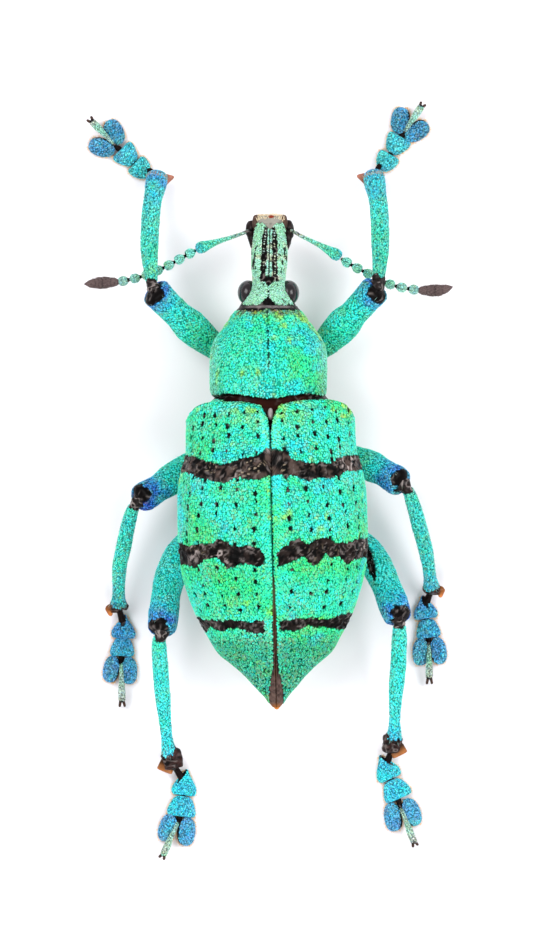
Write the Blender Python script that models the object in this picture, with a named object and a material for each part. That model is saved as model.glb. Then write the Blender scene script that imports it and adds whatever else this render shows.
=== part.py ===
"""A life-size weevil beetle with spread legs, standing on its six feet.

All lengths below are millimetres. +Z is up, the head points towards +Y, and the soles lie
on Z = 0. Each hard plate or limb of the real insect is one object.
"""
import math

import bmesh
import bpy
import numpy as np
from mathutils import Matrix, Vector

MM = 0.001
GAP = 0.3  # clearance between neighbouring plates
SHELL = 0.55  # thickness of a wing case
SEAM = 0.3  # clearance between the two wing cases
TAIL_TURN = math.radians(1.2)  # the hind body is set slightly askew
WAIST = Vector((0.0, 4.6, 0.0))  # the hind body turns about this point

# Wing cases: plan half widths, then side heights, from the shoulders to the tip
WING_Y = (4.6, 1.7, 0.5, -1.0, -3.5, -5.0, -6.5, -7.7, -8.9, -9.8, -10.3, -11.0, -11.9, -12.95)
WING_HALF = (4.75, 4.82, 5.15, 5.36, 5.38, 5.25, 4.87, 4.41, 3.77, 3.22, 2.62, 1.85, 1.12, 0.5)
RIDGE_Y = (4.6, 3.0, 0.5, -2.0, -4.5, -7.0, -9.0, -10.5, -12.0, -12.95)
RIDGE_Z = (8.35, 8.95, 9.7, 9.9, 9.5, 8.3, 6.8, 5.3, 4.0, 3.4)
WIDEST_Z = (5.7, 5.6, 5.5, 5.4, 5.2, 4.8, 4.3, 3.8, 3.2, 2.95)
EDGE_Z = (4.3, 4.25, 4.1, 3.95, 3.85, 3.7, 3.4, 3.1, 2.8, 2.6)
WING_TIP_Y = -12.95
HOLLOW_END_Y = -11.2  # the tip is solid beyond this
BASE_SHARE = (0.0, 0.06, 0.12, 0.42, 0.68, 0.86, 0.97, 1.0)  # front edge, by share of half width
BASE_Y = (3.3, 3.75, 4.2, 4.4, 4.35, 4.05, 3.65, 3.4)
LIP = 0.7  # length over which the front edge rolls down
LIP_DROP = 0.45
SIDE_FROM = 0.82  # share of the section above the widest line
TUCK = 0.05  # how far the lower edge turns in, as a share of the half width
FULLNESS = 2.25  # superellipse power of the wing cases
SHARP_ANGLE = math.radians(50)  # edges that turn by more are shaded sharp
WING_ROWS = 18
WING_COLUMNS = 12

# Underside of the hind body
BELLY_Y = (4.45, 3.0, 0.0, -3.0, -6.0, -9.0, -11.0, -12.2)
BELLY_Z = (2.3, 1.6, 1.5, 1.45, 1.6, 1.95, 2.2, 2.35)
FLANK_Y = (4.45, 3.7, 2.8, 1.7, -13.0)
FLANK_HALF = (2.9, 4.0, 4.4, 4.6, 5.2)
FLANK_INSET = 0.93  # flank half width over that of the wing cases
THORAX_FRONT = 4.4
THORAX_BACK = -2.85
ABDOMEN_BACK = -12.1
BELLY_SEAMS = (-5.4, -7.7, -8.9, -10.0)  # between the five belly plates
SEAM_HALF = 0.14
SEAM_DEPTH = 0.14
CROWN_ROOM = 0.2  # beyond GAP, between the hind body's crown and the wing cases
WALL_ROOM = 0.14  # the same at its sides
LEDGE_ROOM = 0.05
LEDGE_THICK = 0.08  # the ledge slopes by this from the crown out to the flank
LEDGE_WIDTH = 0.15
CROWN_MIN = 0.05  # height of the crown over the ledge where the wing cases are solid
CROWN_RUN = 1.5  # length over which the crown rises from the tail
CROWN_FRONT = 6.0  # the crown starts to slope down this far forward
CROWN_SLOPE = 3.0

# Ring behind the head: half width, top and bottom from the neck back to the waist
RING_Y = (9.75, 9.3, 8.9, 8.5, 8.0, 7.4, 6.4, 5.2, 4.75)
RING_HALF = (1.72, 2.12, 2.42, 2.66, 3.03, 3.28, 3.35, 3.33, 3.22)
RING_TOP = (6.95, 7.2, 7.4, 7.6, 7.9, 8.15, 8.35, 8.35, 8.2)
RING_LOW = (3.25, 3.0, 2.8, 2.65, 2.5, 2.35, 2.2, 2.2, 2.3)
RING_SECTIONS = (9.75, 9.55, 9.2, 8.8, 8.4, 7.9, 7.3, 6.6, 5.8, 5.1, 4.9, 4.75)
RING_FULLNESS = 2.15
HIND_LOBE = 0.22  # the middle of its hind edge reaches back by this
LOBE_WIDTH = 1.1
LOBE_Y = 5.4  # where the lobe starts
LOBE_RUN = 0.65

# Head and snout, along lines that lean down to the front
HEAD_ROUTE = ((0.0, 10.07, 5.1), (0.0, 10.6, 5.1), (0.0, 11.45, 4.9))
HEAD_HALF = ((0.0, 1.48), (0.3, 1.42), (0.65, 1.22), (1.0, 1.0))
HEAD_TALL = 1.08  # height over width
HEAD_FULLNESS = 2.2
SNOUT_ROUTE = ((0.0, 11.8, 4.7), (0.0, 13.2, 4.22), (0.0, 14.5, 3.68))
SNOUT_HALF = ((0.0, 1.0), (0.3, 0.95), (0.6, 1.0), (0.8, 1.05), (1.0, 0.95))
SNOUT_TALL = ((0.0, 1.05), (0.5, 0.88), (0.85, 0.80), (1.0, 0.66))
SNOUT_FULLNESS = 2.6
FURROW_AT = 0.36  # beside the middle ridge, as a share of the half width
FURROW_WIDTH = 0.16
FURROW_DEPTH = 0.13
EYE_CENTRE = Vector((1.15, 10.75, 5.0))
EYE_RADII = Vector((0.55, 0.65, 0.75))
EYE_ROOM = 0.35  # between an eye and its socket
KNOB_CENTRE = Vector((1.08, 13.98, 3.78))  # over the root of a feeler
KNOB_RADII = Vector((0.28, 0.75, 0.42))
HORN_ROUTE = ((0.70, 14.0, 3.98), (0.80, 14.55, 3.78), (0.80, 15.0, 3.52))
HORN_RADII = ((0.0, 0.26), (0.6, 0.22), (1.0, 0.17))
JAW_ROUTE = ((0.35, 14.64, 3.02), (0.37, 14.86, 2.95), (0.29, 15.06, 2.88))
JAW_RADII = ((0.0, 0.19), (0.5, 0.19), (1.0, 0.11))
SCUTELLUM_CENTRE = (0.0, 3.92, 8.1)
SCUTELLUM_RADII = (0.2, 0.3, 0.28)

# Feelers, as seen from above with the height last
SCAPE_ROUTE = {
    "left": ((-1.72, 13.85, 3.45), (-2.9, 13.5, 3.3), (-4.02, 13.1, 3.1)),
    "right": ((1.72, 13.85, 3.45), (2.9, 13.3, 3.3), (4.0, 12.68, 3.1)),
}
FUNICLE_ROUTE = {
    "left": ((-4.42, 12.88, 3.0), (-5.9, 12.05, 2.85), (-7.3, 11.5, 2.8), (-8.2, 11.28, 2.8)),
    "right": ((4.38, 12.36, 3.0), (5.8, 11.62, 2.8), (7.1, 11.02, 2.75), (8.22, 10.76, 2.8)),
}
CLUB_ROUTE = {
    "left": ((-8.52, 11.22, 2.8), (-9.5, 11.17, 2.75), (-10.49, 11.1, 2.6)),
    "right": ((8.54, 10.74, 2.8), (9.5, 10.74, 2.75), (10.49, 10.96, 2.6)),
}
SCAPE_RADII = ((0.0, 0.25), (0.5, 0.25), (0.85, 0.34), (1.0, 0.30))
CLUB_RADII = ((0.0, 0.24), (0.2, 0.29), (0.5, 0.36), (0.8, 0.24), (1.0, 0.1))
BEADS = 7
BEAD_RADIUS = 0.27
BEAD_NECK = 0.20

# Hips of the right side
HIP_CENTRE = {
    "front": Vector((1.0, 6.1, 1.95)),
    "middle": Vector((1.75, 2.0, 1.75)),
    "hind": Vector((2.7, -2.05, 1.75)),
}
HIP_RADII = {
    "front": Vector((0.80, 0.90, 0.85)),
    "middle": Vector((0.90, 0.85, 0.75)),
    "hind": Vector((1.10, 0.75, 0.65)),
}
# Legs as seen from above with the height last: thigh from the hip to the knee, then shin
THIGH_ROUTE = {
    "front_left": ((-2.2, 6.9, 1.4), (-3.3, 7.75, 2.1), (-4.9, 9.15, 3.2), (-6.55, 10.8, 4.3)),
    "front_right": ((2.2, 6.9, 1.4), (3.3, 7.85, 2.1), (4.7, 9.3, 3.2), (6.2, 10.95, 4.3)),
    "middle_left": ((-3.2, 1.6, 1.15), (-4.5, 0.85, 1.65), (-5.9, -0.25, 2.95), (-7.4, -1.15, 4.2)),
    "middle_right": ((3.2, 1.75, 1.15), (4.5, 1.35, 1.65), (6.1, 0.65, 3.0), (7.65, -0.25, 4.2)),
    "hind_left": ((-4.2, -3.2, 1.1), (-5.1, -4.3, 1.6), (-5.75, -6.2, 2.6), (-6.05, -8.65, 4.1)),
    "hind_right": ((4.3, -3.1, 1.1), (5.5, -3.9, 1.6), (6.5, -5.6, 2.6), (7.4, -7.95, 4.1)),
}
SHIN_ROUTE = {
    "front_left": ((-6.62, 11.5, 4.0), (-6.72, 13.2, 3.3), (-6.62, 15.2, 2.2), (-6.2, 17.45, 1.0)),
    "front_right": ((6.34, 11.7, 4.0), (6.42, 13.2, 3.3), (6.3, 15.2, 2.2), (5.9, 17.5, 1.0)),
    "middle_left": ((-7.72, -1.8, 3.9), (-8.15, -3.6, 3.1), (-8.42, -5.3, 2.1), (-8.5, -7.2, 1.0)),
    "middle_right": ((8.07, -0.75, 3.95), (8.65, -2.7, 3.1), (9.0, -4.4, 2.1), (9.3, -6.2, 1.0)),
    "hind_left": ((-6.15, -9.12, 3.78), (-6.1, -11.2, 3.0), (-5.9, -13.4, 2.0), (-5.72, -15.85, 1.0)),
    "hind_right": ((7.5, -8.42, 3.78), (7.5, -10.5, 3.0), (7.3, -12.5, 2.0), (7.15, -14.95, 1.0)),
}
# Centres of the three toe pads and the tip of the claws
TOES = {
    "front_left": ((-7.44, 18.02), (-8.16, 18.6), (-9.07, 19.29)),
    "front_right": ((6.76, 18.3), (7.28, 19.15), (7.92, 20.07)),
    "middle_left": ((-8.22, -8.4), (-8.3, -9.45), (-8.42, -10.7)),
    "middle_right": ((8.87, -7.3), (9.05, -8.42), (9.14, -9.65)),
    "hind_left": ((-4.75, -17.2), (-4.92, -18.6), (-5.18, -19.8)),
    "hind_right": ((6.65, -16.35), (7.25, -17.65), (7.62, -18.95)),
}
CLAW_TIP = {
    "front_left": (-10.2, 20.55),
    "front_right": (8.8, 21.4),
    "middle_left": (-8.31, -12.9),
    "middle_right": (9.14, -11.6),
    "hind_left": (-6.08, -21.5),
    "hind_right": (8.35, -20.8),
}
THIGH_RADII = ((0.0, 0.42), (0.2, 0.56), (0.45, 0.76), (0.7, 0.88), (0.88, 0.84), (1.0, 0.70))
SHIN_RADII = {
    "front": ((0.0, 0.33), (0.15, 0.40), (0.4, 0.48), (0.75, 0.50), (1.0, 0.50)),
    "middle": ((0.0, 0.32), (0.15, 0.38), (0.4, 0.40), (0.75, 0.38), (0.9, 0.42), (1.0, 0.50)),
    "hind": ((0.0, 0.34), (0.15, 0.41), (0.4, 0.42), (0.8, 0.36), (0.9, 0.42), (1.0, 0.52)),
}
# Tooth at the shin's end: distance of its root from the end, reach sideways, reach onwards
SPUR_AIM = {"front": (0.45, 0.85, -0.05), "middle": (0.3, 0.75, 0.35), "hind": (0.3, 0.80, 0.35)}
SPUR_RADII = ((0.0, 0.28), (0.5, 0.24), (1.0, 0.12))
PAD_HALF = {"front": (0.64, 0.73), "middle": (0.60, 0.70), "hind": (0.62, 0.78)}
PAD_LONG = {"front": (0.54, 0.52), "middle": (0.58, 0.52), "hind": (0.70, 0.58)}
LOBE_HALF = {"front": 0.42, "middle": 0.40, "hind": 0.47}
LOBE_LONG = {"front": 0.66, "middle": 0.74, "hind": 0.78}
LOBE_APART = 1.05  # sideways place of a lobe over its half width
LOBE_TURN = math.radians(12)
PAD_MIDDLE_Z = 0.30  # the pads are cut flat a little below their middle
PAD_TALL = 0.38
PAD_SIDES = 9
LINK_RADIUS = 0.26
ANKLE_ROOM = {"front": 0.26, "middle": 0.1, "hind": 0.1}  # beyond GAP, from shin to foot
SHAFT_RADIUS = 0.23
SHAFT_RISE = 0.45
SHAFT_START_UP = 0.05
SHAFT_END_UP = 0.25
CLAW_RADII = ((0.0, 0.15), (0.5, 0.13), (1.0, 0.07))
CLAW_REACH = 0.55
CLAW_ROOT = (0.15, 0.08)  # back along the joint, and to the side of it
CLAW_BEND = (0.75, 0.2, 0.05)  # share of the reach, to the side, up
CLAW_POINT = (0.26, 0.12)  # to the side, height over the ground

TUBE_STEPS = 8
TUBE_FACETS = 3  # bevel resolution, ten sides round a limb
GROUND_BLOCK = 60.0

SCALE_GREEN = (0.03, 0.62, 0.42, 1.0)
SCALE_BLUE = (0.05, 0.36, 0.62, 1.0)
CUTICLE = (0.02, 0.016, 0.016, 1.0)
FELT = (0.06, 0.05, 0.05, 1.0)


def clear_scene():
    """Removes whatever the file holds."""
    for thing in list(bpy.data.objects):
        bpy.data.objects.remove(thing, do_unlink=True)


def material(name, colour, roughness, metallic=0.0):
    """A Principled material with one colour."""
    made = bpy.data.materials.new(name)
    made.use_nodes = True
    shader = made.node_tree.nodes["Principled BSDF"]
    shader.inputs["Base Color"].default_value = colour
    shader.inputs["Roughness"].default_value = roughness
    shader.inputs["Metallic"].default_value = metallic
    return made


def through(stations, values, at):
    """Smooth curve through a few values that never overshoots them (monotone cubic)."""
    x = np.asarray(stations, float)
    y = np.asarray(values, float)
    if x[0] > x[-1]:
        x, y = x[::-1], y[::-1]
    step = np.diff(x)
    slope = np.diff(y) / step
    before, after = slope[:-1], slope[1:]
    rising = before * after > 0
    tangent = np.concatenate([slope[:1], np.zeros(len(step) - 1), slope[-1:]])
    tangent[1:-1][rising] = 2 * before[rising] * after[rising] / (before + after)[rising]
    at = np.clip(np.asarray(at, float), x[0], x[-1])
    i = np.clip(np.searchsorted(x, at, side="right") - 1, 0, len(step) - 1)
    t = (at - x[i]) / step[i]
    return (
        (2 * t**3 - 3 * t**2 + 1) * y[i]
        + (t**3 - 2 * t**2 + t) * step[i] * tangent[i]
        + (3 * t**2 - 2 * t**3) * y[i + 1]
        + (t**3 - t**2) * step[i] * tangent[i + 1]
    )


def spread(pairs, shares):
    """Smooth values at shares of a length, from (share, value) pairs."""
    return through([share for share, _ in pairs], [value for _, value in pairs], shares)


def along_route(route, shares):
    """Points at shares of the length of a smooth line through a route, and that length."""
    route = np.asarray(route, float)
    run = np.concatenate([[0], np.cumsum(np.linalg.norm(np.diff(route, axis=0), axis=1))])
    at = np.asarray(shares, float) * run[-1]
    return np.stack([through(run, route[:, i], at) for i in range(3)], axis=-1), run[-1]


def placed(name, data, finish, collection):
    """A new object for a mesh or curve, with its finish."""
    made = bpy.data.objects.new(name, data)
    collection.objects.link(made)
    if finish is not None:
        data.materials.append(finish)
    return made


def tube(name, route, radii, finish, collection, ends=(0.3, 0.3), steps=TUBE_STEPS, facets=TUBE_FACETS):
    """A limb with rounded ends: a curve whose radius follows the (share, radius) pairs.

    ends are the lengths over which the two ends close.
    """
    length = along_route(route, [0.0])[1]
    round_off = np.array((0.0, 0.25, 0.6))
    first, last = ends[0] / length, ends[1] / length
    middle = np.linspace(first, 1 - last, steps)
    shares = np.concatenate([round_off * first, middle, 1 - round_off[::-1] * last])
    centres, _ = along_route(route, shares)
    near_end = np.minimum(shares / first, (1 - shares) / last).clip(0, 1)
    closing = np.sqrt(1 - (1 - near_end) ** 2).clip(0.25, 1)
    radius = spread(radii, shares) * closing
    curve = bpy.data.curves.new(name, "CURVE")
    curve.dimensions = "3D"
    curve.bevel_depth = MM
    curve.bevel_resolution = facets
    curve.use_fill_caps = True
    spline = curve.splines.new("POLY")
    spline.points.add(len(shares) - 1)
    for point, centre, thick in zip(spline.points, centres, radius):
        point.co = (*(centre * MM), 1.0)
        point.radius = thick
    return placed(name, curve, finish, collection)


def as_mesh(piece):
    """A mesh object in place of a curve object, with its caps welded on."""
    bpy.context.view_layer.update()
    graph = bpy.context.evaluated_depsgraph_get()
    mesh = bpy.data.meshes.new_from_object(piece.evaluated_get(graph))
    shape = bmesh.new()
    shape.from_mesh(mesh)
    bmesh.ops.remove_doubles(shape, verts=shape.verts, dist=1e-7)
    shape.to_mesh(mesh)
    shape.free()
    name, place, collection = piece.name, piece.matrix_world.copy(), piece.users_collection[0]
    bpy.data.objects.remove(piece, do_unlink=True)
    made = bpy.data.objects.new(name, mesh)
    made.matrix_world = place
    collection.objects.link(made)
    return made


def ellipsoid(name, centre, radii, finish, collection, segments=12, rings=8, turn=0.0):
    """A UV sphere stretched to three radii and turned about the upright."""
    mesh = bpy.data.meshes.new(name)
    shape = bmesh.new()
    bmesh.ops.create_uvsphere(shape, u_segments=segments, v_segments=rings, radius=MM)
    bmesh.ops.scale(shape, vec=Vector(radii), verts=shape.verts)
    bmesh.ops.rotate(shape, matrix=Matrix.Rotation(turn, 3, "Z"), verts=shape.verts)
    bmesh.ops.translate(shape, vec=Vector(centre) * MM, verts=shape.verts)
    shape.to_mesh(mesh)
    shape.free()
    mesh.shade_smooth()
    return placed(name, mesh, finish, collection)


def loft(name, rings, finish, collection):
    """A closed skin over rings of points, with a flat face at each end."""
    rings = np.asarray(rings, float) * MM
    count, points = rings.shape[:2]
    mesh = bpy.data.meshes.new(name)
    shape = bmesh.new()
    grid = [[shape.verts.new(point) for point in ring] for ring in rings]
    for near, far in zip(grid, grid[1:]):
        for j in range(points):
            k = (j + 1) % points
            shape.faces.new((near[j], near[k], far[k], far[j]))
    for ring in (grid[0], grid[-1]):
        shape.faces.new(ring)
    bmesh.ops.recalc_face_normals(shape, faces=shape.faces)
    shape.to_mesh(mesh)
    shape.free()
    mesh.shade_smooth()
    mesh.set_sharp_from_angle(angle=SHARP_ANGLE)
    return placed(name, mesh, finish, collection)


def oval(half_width, half_height, fullness, points):
    """Sideways and upward offsets round one closed superellipse section."""
    angle = 2 * math.pi * np.arange(points) / points
    side, up = np.cos(angle), np.sin(angle)
    bend = 2.0 / fullness
    across = half_width * np.sign(side) * np.abs(side) ** bend
    rise = half_height * np.sign(up) * np.abs(up) ** bend
    return across, rise


def keep_largest(mesh):
    """Drops loose scraps: only the biggest connected surface stays."""
    shape = bmesh.new()
    shape.from_mesh(mesh)
    left = set(shape.verts)
    groups = []
    while left:
        group, edge = set(), [left.pop()]
        while edge:
            vertex = edge.pop()
            group.add(vertex)
            for link in vertex.link_edges:
                other = link.other_vert(vertex)
                if other in left:
                    left.discard(other)
                    edge.append(other)
        groups.append(group)
    groups.sort(key=len)
    scraps = [vertex for group in groups[:-1] for vertex in group]
    bmesh.ops.delete(shape, geom=scraps, context="VERTS")
    shape.to_mesh(mesh)
    shape.free()


def boolean(target, others, operation):
    """Applies one Boolean of closed mesh objects to the target, and removes them."""
    group = bpy.data.collections.new("operands")
    bpy.context.scene.collection.children.link(group)
    for other in others:
        other.users_collection[0].objects.unlink(other)
        group.objects.link(other)
    modifier = target.modifiers.new(operation.title(), "BOOLEAN")
    modifier.operation = operation
    modifier.operand_type = "COLLECTION"
    modifier.collection = group
    bpy.context.view_layer.update()
    graph = bpy.context.evaluated_depsgraph_get()
    result = bpy.data.meshes.new_from_object(target.evaluated_get(graph))
    target.modifiers.clear()
    target.data = result
    for other in others:
        bpy.data.objects.remove(other, do_unlink=True)
    bpy.data.collections.remove(group)
    keep_largest(result)
    result.shade_smooth()
    result.set_sharp_from_angle(angle=SHARP_ANGLE)
    return target


def wing_height(y, share, slimmer):
    """Sideways and upward place on a wing case's section, as lengths and as shares.

    share 0 is the seam, SIDE_FROM the widest line and 1 the lower edge.
    """
    half = through(WING_Y, WING_HALF, y) - slimmer
    top = through(RIDGE_Y, RIDGE_Z, y) - slimmer
    widest = through(RIDGE_Y, WIDEST_Z, y)
    edge = through(RIDGE_Y, EDGE_Z, y)
    angle = np.clip(share / SIDE_FROM, 0, 1) * math.pi / 2
    below = np.clip((share - SIDE_FROM) / (1 - SIDE_FROM), 0, 1)
    out = np.sin(angle) ** (2.0 / FULLNESS)
    rise = np.abs(np.cos(angle)) ** (2.0 / FULLNESS)
    x = SEAM / 2 + (half - SEAM / 2) * out * (1 - TUCK * below**2)
    z = widest + (top - widest) * rise - (widest - edge) * below
    return x, z, out, rise


def wing_case(side, finish, collection):
    """One wing case: an outer and an inner skin, bridged round their rim."""
    sign = -1 if side == "left" else 1
    mesh = bpy.data.meshes.new(f"elytron_{side}")
    shape = bmesh.new()
    for slimmer, tip in ((0.0, WING_TIP_Y), (SHELL, HOLLOW_END_Y)):
        skin = bmesh.ops.create_grid(shape, x_segments=WING_COLUMNS, y_segments=WING_ROWS, size=0.5)
        for vertex in skin["verts"]:
            share, back = vertex.co.x + 0.5, vertex.co.y + 0.5
            front = through(BASE_SHARE, BASE_Y, wing_height(0.0, share, 0.0)[2])
            y = front + (tip - front) * back
            x, z, _, rise = wing_height(y, share, slimmer)
            near = max(0.0, 1 - (front - y) / LIP)
            z -= LIP_DROP * rise * (1 - math.sqrt(1 - near**2))
            vertex.co = Vector((sign * x, y, z)) * MM
    rim = [edge for edge in shape.edges if edge.is_boundary]
    bmesh.ops.bridge_loops(shape, edges=rim)
    bmesh.ops.recalc_face_normals(shape, faces=shape.faces)
    shape.to_mesh(mesh)
    shape.free()
    mesh.shade_smooth()
    mesh.set_sharp_from_angle(angle=SHARP_ANGLE)
    return placed(mesh.name, mesh, finish, collection)


def hind_section(y, groove):
    """Section of the hind body: a crown under the wing cases, a ledge below their edge, a belly."""
    half = float(through(WING_Y, WING_HALF, y))
    ledge = float(through(RIDGE_Y, EDGE_Z, y)) - GAP - LEDGE_ROOM
    roof = float(through(RIDGE_Y, RIDGE_Z, y)) - SHELL - GAP - CROWN_ROOM
    low = float(through(BELLY_Y, BELLY_Z, y)) + groove
    flank = min(half * FLANK_INSET, float(through(FLANK_Y, FLANK_HALF, y)))
    hollow = np.clip((y - HOLLOW_END_Y - GAP) / CROWN_RUN, 0, 1)
    front_slope = np.clip((CROWN_FRONT - y) / CROWN_SLOPE, 0.5, 1)
    crown = ledge + CROWN_MIN + hollow * front_slope * (roof - ledge)
    wall = (half - SHELL) * (1 - TUCK) - GAP - WALL_ROOM
    inside = flank - LEDGE_WIDTH
    if hollow > 0:
        inside = min(wall, inside)
    below = ledge - LEDGE_THICK
    upper = np.linspace(0, math.pi / 2, 6)
    lower = np.linspace(0, math.pi / 2, 7)
    bend = 2.0 / FULLNESS
    x = [*(inside * np.sin(upper) ** bend), *(flank * np.cos(lower[:-1]) ** 0.9), 0.0]
    z = [
        *(ledge + (crown - ledge) * np.cos(upper) ** bend),
        *(below - (below - low) * np.sin(lower) ** 0.9),
    ]
    right = np.stack([x, np.full(len(x), y), z], axis=1)
    left = right[-2:0:-1] * (-1, 1, 1)
    return np.concatenate([right, left])


def thorax(finish, collection):
    """Middle and hind thorax in one, with sockets for four hips."""
    rings = [hind_section(y, 0.0) for y in np.linspace(THORAX_FRONT, THORAX_BACK, 10)]
    made = loft("thorax", rings, finish, collection)
    sockets = [
        ellipsoid("socket", (sign * HIP_CENTRE[pair].x, *HIP_CENTRE[pair].yz),
                  HIP_RADII[pair] + Vector((GAP,) * 3), None, collection, 12, 6)
        for pair in ("middle", "hind")
        for sign in (-1, 1)
    ]
    return boolean(made, sockets, "DIFFERENCE")


def abdomen(finish, collection):
    """Belly of five plates with a groove at each seam, closed to a blunt point behind."""
    front = THORAX_BACK - GAP
    rings = [(front, 0.0), (front - 1.1, 0.0)]
    for seam in BELLY_SEAMS:
        rings += [(seam + SEAM_HALF, 0.0), (seam, SEAM_DEPTH), (seam - SEAM_HALF, 0.0)]
    rings += [(y, 0.0) for y in (-10.6, -11.1, -11.6, ABDOMEN_BACK)]
    return loft("abdomen", [hind_section(y, groove) for y, groove in rings], finish, collection)


def front_ring(finish, collection):
    """The ring behind the head: a blunt cone with a lobed hind edge and two hip sockets."""
    rings = []
    for y in RING_SECTIONS:
        top, low = through(RING_Y, RING_TOP, y), through(RING_Y, RING_LOW, y)
        across, rise = oval(through(RING_Y, RING_HALF, y), (top - low) / 2, RING_FULLNESS, 28)
        behind = np.clip((LOBE_Y - y) / LOBE_RUN, 0, 1)
        lobe = HIND_LOBE * np.exp(-((across / LOBE_WIDTH) ** 2)) * (rise > 0) * behind
        rings.append(np.stack([across, y - lobe, (top + low) / 2 + rise], axis=1))
    made = loft("pronotum", rings, finish, collection)
    centre = HIP_CENTRE["front"]
    sockets = [
        ellipsoid("socket", (sign * centre.x, *centre.yz), HIP_RADII["front"] + Vector((GAP,) * 3),
                  None, collection, 12, 6)
        for sign in (-1, 1)
    ]
    return boolean(made, sockets, "DIFFERENCE")


def leaning_rings(route, half, tall, fullness, points, furrow=0.0):
    """Sections square to a line that leans in the middle plane.

    half and tall hold the half width and half height of each section, and furrow is the depth
    of the two furrows along the top.
    """
    shares = np.linspace(0, 1, len(half))
    centres, _ = along_route(route, shares)
    along = np.gradient(centres, axis=0)
    along /= np.linalg.norm(along, axis=1)[:, None]
    up = np.cross((1.0, 0.0, 0.0), along)
    across, rise = oval(1.0, 1.0, fullness, points)
    sideways = half[:, None] * across[None, :]
    upwards = tall[:, None] * rise[None, :]
    fade = np.clip(np.minimum(shares / 0.15, (1 - shares) / 0.2), 0, 1)
    groove = sum(np.exp(-(((across - side * FURROW_AT) / FURROW_WIDTH) ** 2)) for side in (-1, 1))
    upwards = upwards - (upwards > 0) * furrow * fade[:, None] * groove[None, :]
    return centres[:, None] + sideways[..., None] * (1.0, 0.0, 0.0) + upwards[..., None] * up[:, None]


def head(finish, collection):
    """Head capsule between neck and snout, with a socket for each eye."""
    half = spread(HEAD_HALF, np.linspace(0, 1, 7))
    rings = leaning_rings(HEAD_ROUTE, half, half * HEAD_TALL, HEAD_FULLNESS, 20)
    made = loft("head", rings, finish, collection)
    room = EYE_RADII + Vector((EYE_ROOM,) * 3)
    sockets = [
        ellipsoid("socket", (sign * EYE_CENTRE.x, *EYE_CENTRE.yz), room, None, collection)
        for sign in (-1, 1)
    ]
    return boolean(made, sockets, "DIFFERENCE")


def snout(finish, collection):
    """Stout snout: two furrows beside a middle ridge, a knob over each feeler, two end horns."""
    shares = np.linspace(0, 1, 10)
    rings = leaning_rings(SNOUT_ROUTE, spread(SNOUT_HALF, shares), spread(SNOUT_TALL, shares),
                          SNOUT_FULLNESS, 22, FURROW_DEPTH)
    made = loft("rostrum", rings, finish, collection)
    extras = []
    for sign in (-1, 1):
        extras.append(ellipsoid("knob", (sign * KNOB_CENTRE.x, *KNOB_CENTRE.yz), KNOB_RADII, None,
                                collection, segments=10, rings=6))
        horn = [(sign * x, y, z) for x, y, z in HORN_ROUTE]
        extras.append(as_mesh(tube("horn", horn, HORN_RADII, None, collection, (0.15, 0.15), 3, 2)))
    return boolean(made, extras, "UNION")


def antenna(side, skin, felt, collection):
    """Feeler in three lengths: shaft, seven beads and a pointed club."""
    tube(f"antenna_{side}_scape", SCAPE_ROUTE[side], SCAPE_RADII, skin, collection, (0.12, 0.25), 7, 2)
    beads = [(0.0, BEAD_NECK)]
    for i in range(BEADS):
        beads.append(((i + 0.6) / BEADS, BEAD_RADIUS))
        beads.append(((i + 1) / BEADS, BEAD_NECK))
    tube(f"antenna_{side}_funicle", FUNICLE_ROUTE[side], beads, skin, collection, (0.1, 0.1),
         3 * BEADS + 1, 1)
    tube(f"antenna_{side}_club", CLUB_ROUTE[side], CLUB_RADII, felt, collection, (0.15, 0.25), 7, 2)


def unit(vector):
    """The vector at length one."""
    return Vector(vector).normalized()


def hip_place(pair, side):
    """Centre of a hip as it stands, with the hind body's turn."""
    sign = -1 if side == "left" else 1
    centre = Vector((sign * HIP_CENTRE[pair].x, *HIP_CENTRE[pair].yz))
    if pair == "front":
        return centre
    return WAIST + Matrix.Rotation(TAIL_TURN, 3, "Z") @ (centre - WAIST)


def leg(name, skin, foot_skin, dark, collection, waist):
    """Hip, thigh, shin and foot of one leg."""
    pair, side = name.split("_")
    sign = -1 if side == "left" else 1
    hip = ellipsoid(f"leg_{name}_coxa", (sign * HIP_CENTRE[pair].x, *HIP_CENTRE[pair].yz),
                    HIP_RADII[pair], dark, collection, 12, 6)
    if pair != "front":
        hip.parent = waist
    centre = hip_place(pair, side)
    first = Vector(THIGH_ROUTE[name][0])
    outward = unit(first - centre)
    surface = 1 / Vector(outward[i] / HIP_RADII[pair][i] for i in range(3)).length
    root = centre + outward * (surface + GAP)
    tube(f"leg_{name}_femur", (root, *THIGH_ROUTE[name]), THIGH_RADII, skin, collection, (0.25, 0.55))
    shin = as_mesh(tube(f"leg_{name}_tibia", SHIN_ROUTE[name], SHIN_RADII[pair], skin, collection,
                        (0.2, 0.2), facets=2))
    boolean(shin, [spur(name, pair, sign, collection)], "UNION")
    foot(name, pair, foot_skin, collection)


def spur(name, pair, sign, collection):
    """Tooth at the end of a shin: inward on a front leg, outward on the others."""
    ankle = Vector(SHIN_ROUTE[name][-1])
    along = unit(ankle - Vector(SHIN_ROUTE[name][-2]))
    side = Vector((-sign if pair == "front" else sign, 0.0, 0.0))
    across = unit(side - along * side.dot(along))
    back, sideways, onward = SPUR_AIM[pair]
    root = ankle - along * back
    tip = root + across * sideways + along * onward
    return as_mesh(tube("spur", (root, (root + tip) / 2, tip), SPUR_RADII, None, collection,
                        (0.1, 0.12), 3, 2))


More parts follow.
